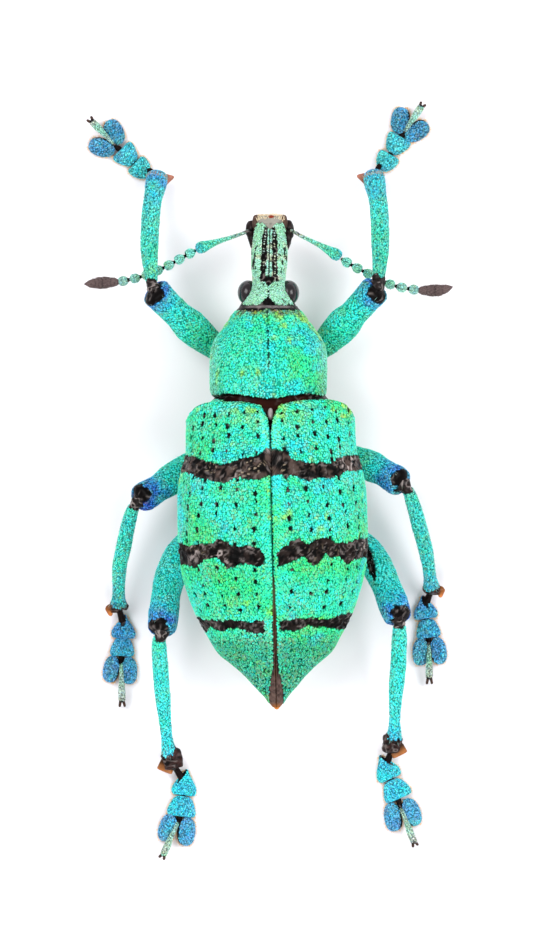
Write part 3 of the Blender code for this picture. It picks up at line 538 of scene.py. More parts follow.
def band_depth(points):
    """Distance inside a bare band, positive within it, with a ragged edge."""
    x, y = points[:, 0], points[:, 1]
    ragged = BAND_RAGGED * noise(points, 0.16, 5) + 0.04 * noise(points, 0.4, 6)
    deep = np.full(len(x), -1.0)
    for upper, lower, (least, most) in BANDS:
        top = np.interp(x, *zip(*upper))
        low = np.interp(x, *zip(*lower))
        inside = np.minimum(np.minimum(top - y, y - low), np.minimum(x - least, most - x))
        deep = np.maximum(deep, inside + ragged)
    return deep


def pits_of(side):
    """Places and radii of the pits of one wing case, in rows that follow its length."""
    rng = np.random.default_rng(PIT_SEED[side])
    y, out, radius = [], [], []

    def add_row(span, wander, share_at, spread, sizes, missing):
        along = np.arange(*span)
        along = along + rng.uniform(-wander, wander, len(along))
        y.append(along)
        out.append(share_at(along) + rng.uniform(-spread, spread, len(along)))
        radius.append(rng.uniform(*sizes, len(along)) * (rng.random(len(along)) > missing))

    for shoulder, middle in PIT_ROWS:
        shares = (shoulder, (shoulder + middle) / 2, middle, middle)
        add_row(PIT_SPAN, 0.2, lambda along: through(PIT_BEND_Y, shares, along), 0.015, PIT_RADIUS, 0.08)
    for share in HIND_PIT_ROWS:
        add_row(HIND_PIT_SPAN, 0.16, lambda along: share, 0.03, HIND_PIT_RADIUS, 0.25)
    y, out, radius = np.concatenate(y), np.clip(np.concatenate(out), 0.05, 0.998), np.concatenate(radius)
    share = SIDE_FROM * 2 / math.pi * np.arcsin(out ** (FULLNESS / 2))
    x, z, _, _ = wing_section(y, share, COAT_DEPTH)
    return askew(np.stack([SIGN[side] * x, y, z], axis=-1)), radius


def nearest_pit(points, pits, radius):
    """Distance to the nearest pit over that pit's radius; pits are longer than wide."""
    best = np.full(len(points), 9.0)
    for centre, size in zip(pits, radius):
        if size > 0:
            away = (points - centre) * (1.0, 0.72, 1.0)
            best = np.minimum(best, np.sqrt(np.einsum("ij,ij->i", away, away)) / size)
    return best


def wing_faces(side):
    """Outer and inner face of a wing case, which meet round its rolled edge, and marks on them.

    The outer face sinks into each pit as a bell and rises in wrinkles on the bands. The inner face
    lies one thickness below it and comes up to it at the edge. The marks are the distance to the
    nearest pit, the distance inside a band and the folds of the wrinkles.
    """
    back, share = np.meshgrid(np.linspace(0, 1, WING_ROWS), np.linspace(0, 1, WING_COLUMNS), indexing="ij")
    outer = wing_surface(side, back, share, COAT_DEPTH)
    normal = normals_of(outer)
    if normal[WING_ROWS // 2, WING_COLUMNS // 3, 2] < 0:
        normal = -normal
    flat = outer.reshape(-1, 3)
    pit = nearest_pit(flat, *pits_of(side))
    band = band_depth(flat)
    fold = 1 - np.abs(noise(flat, 0.34, 21))
    wrinkle = smooth(0.0, 0.08, band) * (0.15 * fold**2 - 0.11 + 0.045 * noise(flat, 0.17, 22))
    sink = PIT_DEPTH * np.exp(-(pit**2) * 0.6) - wrinkle - 0.012 * noise(flat, 0.5, 23)
    across, along = travelled(outer, 1), travelled(outer, 0)
    edge = np.minimum(np.minimum(2.4 * across, across[:, -1:] - across),
                      np.minimum(along, along[-1:] - along))
    roll = 1 - quarter(1 - edge / RIM)
    inner_roll = 1 - quarter(1 - edge / INNER_RIM)
    face = outer - normal * (RIM * roll + sink.reshape(edge.shape) * smooth(0.0, 0.3, edge))[..., None]
    inner = wing_surface(side, back, share, COAT_DEPTH + WING_THICK - (WING_THICK - RIM) * inner_roll)
    for border in ((0, slice(None)), (-1, slice(None)), (slice(None), 0), (slice(None), -1)):
        inner[border] = face[border]
    return outer, face, inner, pit, band, fold


def wing_finish(points, place, side, pit):
    """Turquoise scales, lime at the base, paler on the flank and deep green towards the tip; none
    in the pits, on the bands, beside the seam or on the rolled edge."""
    seam = through(SUTURE_Y, SUTURE_HALF, points[:, 1])
    cover = smooth(-0.02, 0.02, from_seam(points) - seam - 0.02 * noise(points, 0.14, 31))
    cover = cover * smooth(0.02, -0.02, band_depth(points))
    rows, columns = pit.shape[:2]
    hole = sample(pit, place[:, 0] * (rows - 1), place[:, 1] * (columns - 1), False)
    cover = cover * smooth(0.75, 1.05, hole[:, 0])
    cover = cover * smooth(1.0, 0.985, place[:, 1]) * smooth(0.0, 0.006, place[:, 0])
    colour = body_tint(points, *WING_TINT[side])
    base = smooth(2.6, 4.0, points[:, 1]) * smooth(3.4, 1.2, np.abs(points[:, 0]))
    colour = blend(colour, LIME, 0.75 * base * patches(points, 0.3, 32, -0.4, 0.5))
    colour = colour * (1 - smooth(-3.0, -6.0, points[:, 1])[:, None] * HIND_DARKENING)
    colour = blend(colour, DEEP, 0.66 * smooth(-8.4, -9.4, points[:, 1]))
    return cover, blend(colour, MINT, 0.45 * smooth(0.72, 0.95, place[:, 1]))


def wing_tint(tint, flat, band, fold):
    """Tint of the outer face: brown, painted highlights on ridge tops and crumbs in the bands,
    felt and a brown streak along the seam behind, and horn at the tip."""
    shape = tint.shape[:2]
    brown, highlights, crumbs = (through(BAND_AT, shares, flat[:, 1]) for shares in BAND_SHARES)
    brown = brown * smooth(-0.2, 0.6, noise(flat, 0.32, 24) + 0.6 * noise(flat, 0.12, 25))
    # Painted highlights on the tops of the folds, in patches
    highlights = highlights * smooth(0.86, 0.98, fold + 0.15 * noise(flat, 0.13, 26))
    highlights = highlights * patches(flat, 0.9, 27, -0.1, 0.5)
    crumbs = crumbs * patches(flat, 0.11, 28, 0.5, 0.7) * patches(flat, 0.8, 29, 0.0, 0.5)
    # Painted highlights on the ridge tops, beside the bands' brown and crumbs
    for share, colour in ((brown, BAND_BROWN), (highlights, PAINTED_HIGHLIGHT), (crumbs, BAND_SPECK)):
        tint = blend(tint, colour, (smooth(0.0, 0.06, band) * share).reshape(shape))
    y, beside = flat[:, 1], from_seam(flat)
    felt = smooth(-0.02, 0.06, through(SUTURE_Y, SUTURE_HALF, y) - beside) * smooth(-10.6, -11.5, y)
    felt = felt * (0.75 + 0.5 * noise(flat, 0.1, 33))
    tint = blend(tint, APEX_COLOUR, felt.reshape(shape))
    streak = smooth(0.08, 0.03, beside) * smooth(-5.0, -6.5, y) * smooth(-11.6, -10.8, y)
    return blend(tint, SEAM_COLOUR, streak.reshape(shape))


def wing_case(side):
    """A wing case as one closed pillow: outer face, rolled edge, inner face; with its scales."""
    outer, face, inner, pit, band, fold = wing_faces(side)
    rows, columns = face.shape[:2]
    finish = partial(wing_finish, side=side, pit=pit.reshape(rows, columns, 1))
    tint = wing_tint(skin_tint(face, finish, wrap=False), outer.reshape(-1, 3), band, fold)
    tint = np.clip(blend(tint, HORN * 0.5, smooth(-12.55, -12.95, face[..., 1])), *TINT_RANGE)
    under = np.broadcast_to(CUTICLE, (rows, columns - 2, 3))
    ring = np.concatenate([face, inner[:, -2:0:-1]], axis=1)
    skin = closed_skin(f"wing_case_{side}", ring, np.concatenate([tint, under], axis=1))
    weld(skin)
    placed(skin, skin_finish, (f"elytron_{side}",))
    turned = normals_of(face)[60, 40, 2] < 0

    def lie_finish(points, place):
        return finish(points, np.stack([place[:, 0], 1 - place[:, 1]], 1) if turned else place)

    lay_scales(f"wing_case_{side}_scales", face[:, ::-1] if turned else face, lie_finish,
               WING_SEED[side], wrap=False, dust=0.5)


for side in SIGN:
    wing_case(side)

# Hind body
# The belly and flanks below the wing cases: hard plates with a groove at each seam, scaled where
# they show and bare on the crown that the wing cases hide. The hips sit against it.
BELLY_Y = (4.45, 3.0, 0.0, -3.0, -6.0, -9.0, -11.0, -12.2)
BELLY_Z = (2.3, 1.6, 1.5, 1.45, 1.6, 1.95, 2.2, 2.35)
FLANK_Y = (4.45, 3.7, 2.8, 1.7, -13.0)
FLANK_HALF = (2.9, 4.0, 4.4, 4.6, 5.2)
BODY_ENDS = (4.35, -12.3)
BODY_ROWS = 200
PLATE_SEAMS = (0.2, -3.0, -5.4, -7.7, -8.9, -10.0)
SEAM_PRESS = (0.12, 0.09)  # depth and half width
BODY_GAP = 0.15
WING_ROOM = 1.1  # from the ridge of the wing cases down to the crown
END_ROLL = (-11.7, 0.62)  # where the end starts to round off, and over which length
CROWN_POWER = 0.89
BELLY_POWER = 0.9


def hind_ring(y):
    """Section of the hind body: a low crown, a ledge under the wing cases' edge, a round belly."""
    half = through(WING_Y, WING_HALF, y)
    ledge = through(RIDGE_Y, EDGE_Z, y) - BODY_GAP
    roof = through(RIDGE_Y, RIDGE_Z, y) - WING_ROOM
    low = through(BELLY_Y, BELLY_Z, y) + COAT_DEPTH
    low = low + SEAM_PRESS[0] * sum(np.exp(-(((y - seam) / SEAM_PRESS[1]) ** 2)) for seam in PLATE_SEAMS)
    closing = quarter((END_ROLL[0] - y) / END_ROLL[1])
    flank = (np.minimum(half * 0.93, through(FLANK_Y, FLANK_HALF, y)) - COAT_DEPTH) * closing
    low = ledge - (ledge - low) * closing
    crown = ledge + 0.05 + smooth(-11.0, -9.3, y) * np.clip((6.0 - y) / 3.0, 0.5, 1) * (roof - ledge)
    inside = np.minimum((half - 0.55) * 0.95 - BODY_GAP - 0.14, flank - 0.15 * closing)
    upper = np.linspace(0, math.pi / 2, 16)
    lower = np.linspace(0, math.pi / 2, 44)
    x = np.concatenate([inside * np.sin(upper) ** CROWN_POWER, flank * np.cos(lower) ** BELLY_POWER])
    z = np.concatenate([ledge + (crown - ledge) * np.cos(upper) ** CROWN_POWER,
                        ledge - 0.08 - (ledge - 0.08 - low) * np.sin(lower) ** BELLY_POWER])
    right = np.stack([x, np.full(len(x), y), z], axis=1)
    return np.concatenate([right, right[-2:0:-1] * (-1, 1, 1)])


def hind_finish(points, place):
    """Scales under the ledge, thinner over the plates' seams, none on the hidden crown."""
    y, z = points[:, 1], points[:, 2]
    cover = smooth(0.0, -0.12, z - through(RIDGE_Y, EDGE_Z, y) + BODY_GAP)
    for seam in PLATE_SEAMS:
        cover = cover * smooth(0.07, 0.16, np.abs(y - seam))
    cover = cover * (0.55 + 0.45 * patches(points, 0.5, 81, -0.5, 0.1))
    return cover, blend(body_tint(points, 82), MINT, 0.35)


body_grid = askew(np.stack([hind_ring(y) for y in np.linspace(*BODY_ENDS, BODY_ROWS)]))
dressed("hind_body", body_grid, hind_finish, ("thorax", "abdomen"), 21, gaps=0.08)

# Waist ring and wedge
# A cone of cuticle closes the joint between the front ring and the wing cases: bare and red-brown
# on top, scaled on its sides below the shoulders. The small grey scutellum lies in the notch.
WAIST_COLOUR = paint(44, 17, 12)
WEDGE_COLOUR = paint(150, 142, 142)
WAIST_Y = (5.15, 5.0, 4.85, 4.7, 4.5, 4.3, 4.1, 3.8, 3.5, 3.2)
WAIST_HALF = (2.3, 2.9, 3.08, 3.15, 3.32, 3.78, 4.1, 4.28, 4.3, 4.2)
WAIST_TOP = (6.9, 7.4, 7.7, 7.75, 7.75, 7.75, 7.75, 7.75, 7.7, 7.4)
WAIST_LOW = (3.2, 2.8, 2.5, 2.35, 2.2, 2.05, 1.95, 1.9, 1.95, 2.2)
WAIST_FULLNESS = (2.2, 2.9)  # in front and behind
WAIST_GRID = (70, 200)  # rings and sides
NOTCH = (0.3, 0.75)  # how far the ring's back edge reaches between the wing cases, and how wide


def signed_power(value, power):
    """Power of the size, with the sign kept."""
    return np.sign(value) * np.abs(value) ** power


def ovals(half, top, low, turn, power):
    """Superellipse sections: sideways places, heights, and the share of the rise to the top."""
    up = signed_power(np.cos(turn), power)
    return half * signed_power(np.sin(turn), power), (top + low) / 2 + (top - low) / 2 * up, up


def ball(centre, radii, rings=40, sides=48, turn=0.0):
    """Ellipsoid whose rings run along +Y, turned about the upright: radii times sine and cosine."""
    polar = np.linspace(math.pi - 0.04, 0.04, rings)[:, None]
    around = np.linspace(0, -2 * math.pi, sides, endpoint=False)[None, :]
    x = radii[0] * np.sin(polar) * np.sin(around)
    y = radii[1] * np.cos(polar) * np.ones_like(around)
    z = radii[2] * np.sin(polar) * np.cos(around)
    c, s = math.cos(turn), math.sin(turn)
    return np.stack([centre[0] + c * x - s * y, centre[1] + s * x + c * y, centre[2] + z], axis=-1)


def bare(name, grid, colour, finish, nodes=(), mottle=0.0, seed=1, cell=0.15, glint=0.0):
    """A bare piece of one colour, or of one colour per ring, mottled by noise, with painted
    highlights along creases by its glint share.
    """
    colour = np.asarray(colour)
    if colour.ndim == 2:
        colour = colour[:, None]
    tint = colour * (1 + mottle * noise(grid, cell, seed))[..., None]
    # Painted highlights along creases, as strong as the glint share
    tint = np.clip(with_painted_glints(grid, tint, glint, seed + 40), 0.002, 0.95)
    placed(closed_skin(name, grid, tint), finish, nodes)


def waist_grid():
    """Superellipses from under the front ring to under the wing cases, with a tongue into their notch."""
    rings, sides = WAIST_GRID
    lap = np.linspace(0, 2 * math.pi, sides, endpoint=False)
    at = np.linspace(0, len(WAIST_Y) - 1, rings)
    y, half, top, low = (through(np.arange(len(v)), v, at)[:, None]
                         for v in (WAIST_Y, WAIST_HALF, WAIST_TOP, WAIST_LOW))
    x, z, up = ovals(half, top, low, lap[None], 2 / np.interp(y, (4.0, 4.8), WAIST_FULLNESS[::-1]))
    tongue = NOTCH[0] * np.exp(-((x / NOTCH[1]) ** 2)) * (up > 0)
    grid = np.stack([x, y - tongue * smooth(5.0, 4.3, y), z], axis=-1)
    grid[..., 2] += 0.02 * noise(grid, 0.2, 91) * (up > 0)
    return askew(grid)


def waist_finish(points, place):
    """Scales on the sides and below, none on top or beside the rim of the front ring."""
    y, z = points[:, 1], points[:, 2]
    ragged = 0.1 * noise(points, 0.2, 92)
    cover = smooth(7.0, 6.7, z + ragged) * smooth(4.58, 4.48, y + 0.3 * ragged)
    return cover, blend(body_tint(points, 93), MINT, 0.3)


waist_shape = waist_grid()
waist_tint = skin_tint(waist_shape, waist_finish)
rusty = smooth(2.7, 1.5, np.abs(waist_shape[..., 0])) * smooth(5.8, 6.8, waist_shape[..., 2])
rusty = rusty * (0.8 + 0.5 * noise(waist_shape, 0.5, 94))
waist_tint = np.clip(blend(waist_tint, WAIST_COLOUR, rusty), *TINT_RANGE)
dressed("waist_ring", waist_shape, waist_finish, (), 24, gaps=0.08, tint=waist_tint)
wedge_grid = askew(ball((0.02, 3.72, 8.02), (0.16, 0.34, 0.22), 30, 32))
bare("wedge", wedge_grid, WEDGE_COLOUR, skin_finish, ("scutellum",), 0.35, 4)

# Front ring
# The pronotum, one blunt cone of cuticle behind the head: finely granular and scaled, with a dark
# line along its middle, a low collar in front and a dark, lobed rim behind.
RING_Y = (9.75, 9.3, 8.9, 8.5, 8.0, 7.4, 6.4, 5.2, 4.75)
RING_HALF = (1.72, 2.12, 2.42, 2.66, 3.03, 3.28, 3.35, 3.33, 3.22)
RING_TOP = (6.95, 7.2, 7.4, 7.6, 7.9, 8.15, 8.35, 8.35, 8.2)
RING_LOW = (3.25, 3.0, 2.8, 2.65, 2.5, 2.35, 2.2, 2.2, 2.3)
RING_FRONT = 9.86
RING_BACK = 4.78
RING_ROLL = 0.14
RING_FULLNESS = 2.15
RING_GRID = (130, 210)  # rings between its rolled ends, and sides
HIND_LOBE = (0.22, 1.1, 0.65)  # depth, width, and how far ahead of the rim it starts
HIND_CORNER = (0.14, 2.2, 3.2)  # depth, and the places sideways from which and to which it grows
RIM_GREY = paint(128, 122, 122)
MIDDLE_LINE = ((6.2, 0.01), (9.6, -0.06))  # (forward, sideways) at its two ends
LINE_HALF = 0.03
LINE_PIT = (8.43, 0.1)  # a round bare pit on the line: its place and its radius
COLLAR_Y = 9.02
RUST = paint(112, 84, 56)


def ring_line(y):
    """Sideways place of the fine dark line along the middle of the front ring."""
    (y0, x0), (y1, x1) = MIDDLE_LINE
    return x0 + (x1 - x0) * (y - y0) / (y1 - y0)


def hind_reach(x):
    """How far the hind edge reaches back: a lobe in the middle and a small corner at each side."""
    lobe, corner = HIND_LOBE, HIND_CORNER
    return lobe[0] * np.exp(-((x / lobe[1]) ** 2)) + corner[0] * smooth(*corner[1:], np.abs(x))


def pushed(grid, push):
    """A grid of rings with its points moved out along its normals."""
    return grid + normals_of(grid, True) * push[..., None]


def ring_grid():
    """Superellipse sections whose ends roll inwards, with a line and a collar pressed in on top."""
    turn = np.linspace(0.05, math.pi / 2, 6)
    out_of_end = RING_ROLL * (1 - np.cos(turn))
    inset_end = RING_ROLL * (1 - np.sin(turn))
    body = np.linspace(RING_FRONT - RING_ROLL, RING_BACK + RING_ROLL, RING_GRID[0])[1:-1]
    y = np.concatenate([RING_FRONT - out_of_end, body, (RING_BACK + out_of_end)[::-1]])
    inset = np.concatenate([inset_end, np.zeros(len(body)), inset_end[::-1]]) + COAT_DEPTH
    y, inset = y[:, None], inset[:, None]
    turn = np.linspace(0, 2 * math.pi, RING_GRID[1], endpoint=False)
    x, z, up = ovals(through(RING_Y, RING_HALF, y) - inset, through(RING_Y, RING_TOP, y) - inset,
                     through(RING_Y, RING_LOW, y) + inset, turn, 2 / RING_FULLNESS)
    behind = np.clip((RING_BACK + HIND_LOBE[2] - y) / HIND_LOBE[2], 0, 1)
    lobe = hind_reach(x) * smooth(-0.5, 0.3, up) * behind
    grid = np.stack([x, y - lobe, z], axis=-1)
    line = np.exp(-(((x - ring_line(y)) / 0.05) ** 2)) * smooth(0.1, 0.5, up) * smooth(6.0, 6.4, y)
    collar = 0.05 * np.exp(-(((y - COLLAR_Y) / 0.12) ** 2))
    grain = 0.018 * noise(grid, 0.19, 51) + 0.02 * noise(grid, 0.7, 52)
    from_end = np.minimum(RING_FRONT - y, y - RING_BACK)
    return pushed(grid, (grain - 0.06 * line - collar) * smooth(0.1, 0.3, from_end))


def ring_finish(points, place):
    """Turquoise with lime blots, cyan along the middle, paler flanks, dark rims and a dark line."""
    x, y, z = points.T
    above = smooth(5.5, 6.3, z)
    off = np.abs(x - ring_line(y))
    line = smooth(LINE_HALF + 0.02, LINE_HALF - 0.01, off + 0.012 * noise(points, 0.12, 53)) * above
    cover = 1 - line * smooth(6.15, 6.3, y)
    pit = np.hypot(x - ring_line(y), y - LINE_PIT[0])
    cover = cover * np.where(above > 0, smooth(LINE_PIT[1] * 0.7, LINE_PIT[1], pit), 1.0)
    back = y + hind_reach(x) * smooth(3.8, 6.1, z) - 0.08 * smooth(1.2, 2.8, np.abs(x))
    cover = cover * smooth(RING_BACK + 0.03, RING_BACK + 0.1, back + 0.03 * noise(points, 0.15, 54))
    front = RING_FRONT - 0.3 + 0.1 * np.exp(-(((x + 0.03) / 0.28) ** 2))
    cover = cover * smooth(front + 0.05, front - 0.05, y + 0.05 * noise(points, 0.15, 55))
    colour = body_tint(points, 58, 0.34, 0.25)
    cool = np.exp(-((x / 0.55) ** 2)) + smooth(1.6, 2.6, x) * smooth(5.6, 7.2, y) * smooth(9.0, 8.0, y)
    colour = blend(colour, CYAN, 0.55 * np.clip(cool, 0, 1) * patches(points, 0.4, 59, -0.6, 0.4))
    collar = smooth(8.9, 9.2, y) * above
    colour = blend(colour, LIME, 0.55 * collar * patches(points, 0.25, 60, -0.3, 0.5))
    rust = np.exp(-(((np.abs(x + 0.05) - 0.75) / 0.28) ** 2)) * smooth(9.15, 9.4, y)
    edge = smooth(9.22, 9.46, y + 0.14 * noise(points, 0.25, 62)) * (0.7 + 0.3 * noise(points, 0.2, 63))
    colour = blend(colour, RUST, np.maximum(0.8 * rust, edge) * above)
    return cover, blend(colour, MINT, 0.5 * smooth(2.5, 3.25, np.abs(x)))


ring_shape = ring_grid()
ring_tint = skin_tint(ring_shape, ring_finish)
pale = smooth(9.68, 9.76, ring_shape[..., 1]) * smooth(6.0, 6.6, ring_shape[..., 2])
pale = 0.45 * pale * (1 + 0.4 * noise(ring_shape, 0.1, 57))
ring_tint = np.clip(blend(ring_tint, RIM_GREY, pale), *TINT_RANGE)
dressed("front_ring", ring_shape, ring_finish, ("pronotum",), 22, gaps=0.1, step=0.115,
        tint=ring_tint, dust=0.35)

# Head and snout
# One capsule of cuticle from the neck to the mouth. On top two black furrows run beside a pair of
# thin pale ridges, from a black arrowhead between the eyes to a bare grey plate at the front.
HEAD_Y = (9.55, 10.1, 10.4, 10.75, 11.1, 11.5, 12.2, 12.9, 13.4, 14.0, 14.5, 14.74)
HEAD_HALF = (1.8, 1.5, 1.28, 1.05, 0.95, 0.98, 1.05, 1.07, 1.02, 0.95, 0.93, 0.86)
HEAD_TALL_Y = (9.55, 10.1, 10.75, 11.45, 11.8, 13.15, 14.1, 14.74)
HEAD_TALL = (1.56, 1.53, 1.34, 1.1, 1.04, 0.88, 0.79, 0.58)
HEAD_LINE_Y = (9.55, 10.6, 11.45, 11.8, 13.2, 14.5, 14.74)
HEAD_LINE_Z = (5.1, 5.1, 4.89, 4.74, 4.22, 3.68, 3.58)
HEAD_LEAN = ((9.9, -0.03), (11.5, 0.02), (14.9, 0.1))  # (forward, sideways) of its middle
HEAD_ENDS = (9.55, 14.74)
HEAD_GRID = (190, 200)
EYE_SIDE_Y = (9.55, 10.0, 10.4, 11.0, 11.3)  # beside each eye the cheek is bare out from here
EYE_SIDE_X = (1.5, 1.4, 1.12, 0.9, 1.2)
FURROW_Y = (14.4, 13.4, 12.0, 11.2)
FURROW_X = (0.22, 0.28, 0.33, 0.34)
FURROW_HALF = 0.155
FURROW_DEPTH = 0.11
FURROW_ENDS = (11.15, 14.4)
RIDGE_INNER = 0.05
ARROW = (11.45, 10.85, 0.36)  # the black arrowhead: its base, its point, its half width
TRIANGLE = (9.8, 10.47, 0.53)  # the black triangle at the neck, the same way
PLATE = (14.76, 14.18, 0.62)  # the bare plate in front, the same way
WEDGES = (ARROW, TRIANGLE, PLATE)
PLATE_COLOUR = paint(150, 148, 138)
SNOUT_MINT = paint(188, 246, 206)
SNOUT_INNER = paint(165, 240, 215)
SNOUT_WORN = paint(214, 220, 184)
FURROW_FLECK = paint(190, 205, 196)


def head_middle(y):
    """Sideways place of the middle of the snout, which leans slightly to the right."""
    return through([a for a, _ in HEAD_LEAN], [b for _, b in HEAD_LEAN], y)


def in_wedge(across, y, wedge):
    """Inside a wedge marking, from its base across the head to its point: 1 inside, 0 outside."""
    base, point, half = wedge
    open_at = np.clip((y - point) / (base - point), 0, 1) * half
    ahead = 0.1 if base > point else -0.1
    inside = smooth(0.03, -0.03, across - open_at) * smooth(point, point + ahead * 0.6, y)
    return inside * smooth(base + ahead, base, y)


def head_grid():
    """Superellipse sections square to a falling line, with the furrows and markings pressed in."""
    rings, sides = HEAD_GRID
    y = np.linspace(*HEAD_ENDS, rings)
    dome = np.linspace(0.15, 1.4, 7)
    closing = np.concatenate([np.ones(len(y)), np.cos(dome)])
    onward = np.concatenate([np.zeros(len(y)), 0.16 * np.sin(dome)])
    y = np.concatenate([y, np.full(len(dome), HEAD_ENDS[1])])
    centre = np.stack([head_middle(y), y, through(HEAD_LINE_Y, HEAD_LINE_Z, y)], axis=1)
    along = np.gradient(centre[:rings], axis=0)
    along = unit(np.concatenate([along, np.repeat(along[-1:], len(dome), axis=0)]))
    centre = centre + along * onward[:, None]
    up = np.cross((1.0, 0.0, 0.0), along)
    half = (through(HEAD_Y, HEAD_HALF, y) - COAT_DEPTH) * closing
    tall = (through(HEAD_TALL_Y, HEAD_TALL, y) - COAT_DEPTH) * closing
    angle = np.linspace(0, 2 * math.pi, sides, endpoint=False)
    power = 2 / np.interp(y, (9.6, 11.6), (2.15, 2.7))[:, None]
    x = half[:, None] * signed_power(np.sin(angle)[None], power)
    rise = signed_power(np.cos(angle)[None], power)
    wide_y = np.broadcast_to(y[:, None], x.shape)
    near, far = FURROW_ENDS
    length = smooth(near, near + 0.2, y) * smooth(far, far - 0.3, y)
    aside = through(FURROW_Y, FURROW_X, y)[:, None]
    furrow = sum(np.exp(-(((x - side * aside) / FURROW_HALF) ** 2)) for side in (-1, 1))
    middle = np.exp(-((x / 0.045) ** 2))
    press = (FURROW_DEPTH * furrow + 0.05 * middle) * (length * closing)[:, None]
    press = press + 0.04 * sum(in_wedge(np.abs(x) + 0.04, wide_y, wedge) for wedge in WEDGES)
    rise_at = tall[:, None] * rise - press * (rise > 0)
    grid = centre[:, None] + x[..., None] * (1.0, 0.0, 0.0) + rise_at[..., None] * up[:, None]
    grid[..., 2] += 0.02 * noise(grid, 0.22, 61) * closing[:, None] * (rise > 0)
    return grid[::-1]


def head_finish(points, place):
    """Mint stripes with dark furrows, a black arrowhead and triangle, and a bare front plate."""
    x, y, z = points.T
    across = np.abs(x - head_middle(y))
    level = z - through(HEAD_LINE_Y, HEAD_LINE_Z, y)
    above = smooth(0.15, 0.45, level)
    wobble = 0.03 * noise(points, 0.12, 62) + 0.04 * noise(points, 0.3, 69)
    near, far = FURROW_ENDS
    on_snout = smooth(near, near + 0.1, y) * smooth(far, far - 0.15, y)
    half = FURROW_HALF * (0.55 + 0.45 * smooth(far, 13.6, y))
    aside = through(FURROW_Y, FURROW_X, y)
    furrow = smooth(half + 0.04, half - 0.04, np.abs(across - aside) + 1.3 * wobble) * on_snout
    chain = np.cos(2 * math.pi * y / 0.15 + 4 * noise(points, 0.4, 68))
    flecks = smooth(0.06, 0.035, np.abs(across - aside - 0.06 * noise(points, 0.4, 67)))
    flecks = flecks * smooth(0.3, 0.7, chain) * patches(points, 0.25, 71, -0.2, 0.0)
    middle = smooth(RIDGE_INNER + 0.02, RIDGE_INNER - 0.02, across) * on_snout
    beside_eye = smooth(0.03, -0.03, through(EYE_SIDE_Y, EYE_SIDE_X, y) - across)
    marks = sum(in_wedge(across + wobble, y, wedge) for wedge in WEDGES)
    spot = smooth(0.1, 0.06, np.hypot(across, y - 10.64))
    side = smooth(0.5, 0.2, level) * smooth(13.0, 13.3, y)
    dark = np.clip((furrow * (1 - flecks) + middle + marks + spot) * above, 0, 1)
    cover = (1 - dark) * (1 - side) * smooth(9.85, 9.95, y + wobble) * smooth(14.6, 14.5, y + 2 * wobble)
    cover = cover * (1 - beside_eye * smooth(11.3, 11.1, y))
    cover = cover * smooth(-0.8, -0.55, noise(points, 0.12, 63) + 0.3 * noise(points, 0.3, 64))
    colour = blend(body_tint(points, 65, 0.6, 0.6), SNOUT_MINT, 0.75)
    inner = smooth(aside + half, aside - half, across) * on_snout * above
    colour = blend(colour, SNOUT_INNER, 0.6 * inner)
    colour = blend(colour, FURROW_FLECK, 0.85 * furrow * above)
    scuff = smooth(0.1, 0.3, noise(points * (1.6, 0.6, 1.6), 0.16, 70)) * smooth(0.58, 0.72, across)
    cover = cover * (1 - 0.85 * scuff * smooth(11.4, 11.8, y) * smooth(13.5, 13.1, y))
    worn = patches(points, 0.3, 66, 0.0, 0.6) * smooth(11.0, 11.4, y) * smooth(13.8, 13.2, y)
    return cover, blend(colour, SNOUT_WORN, 0.7 * worn)


head_shape = head_grid()
head_tint = skin_tint(head_shape, head_finish)
head_x, head_y, head_z = np.moveaxis(head_shape, -1, 0)
plate_share = in_wedge(np.abs(head_x - head_middle(head_y)), head_y, PLATE) + smooth(14.5, 14.62, head_y)
plate_share = plate_share * (head_z > 3.7) * (0.8 + 0.35 * noise(head_shape, 0.12, 72))
head_tint = blend(head_tint, PLATE_COLOUR, 0.8 * np.clip(plate_share, 0, 1))
dressed("head_capsule", head_shape, head_finish, ("head", "rostrum"), 23, step=0.068,
        tint=head_tint)

# Eyes
# Two glossy black-purple compound eyes that bulge at the sides of the head, each a field of tiny
# domed facets set in a smooth rim.
EYE_CENTRE = (1.14, 10.59, 5.0)
EYE_RADII = (0.6, 0.71, 0.8)
EYE_COLOUR = paint(20, 14, 18)
EYE_GRID = (120, 150)
FACET = 0.055
FACET_HEIGHT = 0.006
eye_finish = tinted("eye_gloss", 0.16, 0.3, 0.25)
# The facets swell and sink as a lattice of waves that fades out towards the poles of the dome
rings, sides = EYE_GRID
polar = np.linspace(0, math.pi, rings)[:, None]
u = np.arange(sides)[None] * (2 * math.pi / sides) * EYE_RADII[2] / FACET
v = polar * EYE_RADII[1] / FACET
lattice = np.cos(2 * math.pi * v) * 0.34 + 0.66 * np.cos(math.pi * v) * np.cos(math.pi * 1.15 * u)
facets = FACET_HEIGHT * lattice * np.sin(polar) ** 2
for side, sign in SIGN.items():
    orb = ball((sign * EYE_CENTRE[0] + head_middle(10.7), *EYE_CENTRE[1:]), EYE_RADII, rings, sides)
    orb = pushed(orb, facets)
    bare(f"eye_dome_{side}", orb, EYE_COLOUR, eye_finish, (f"eye_{side}",), 0.3, 5, 0.3)

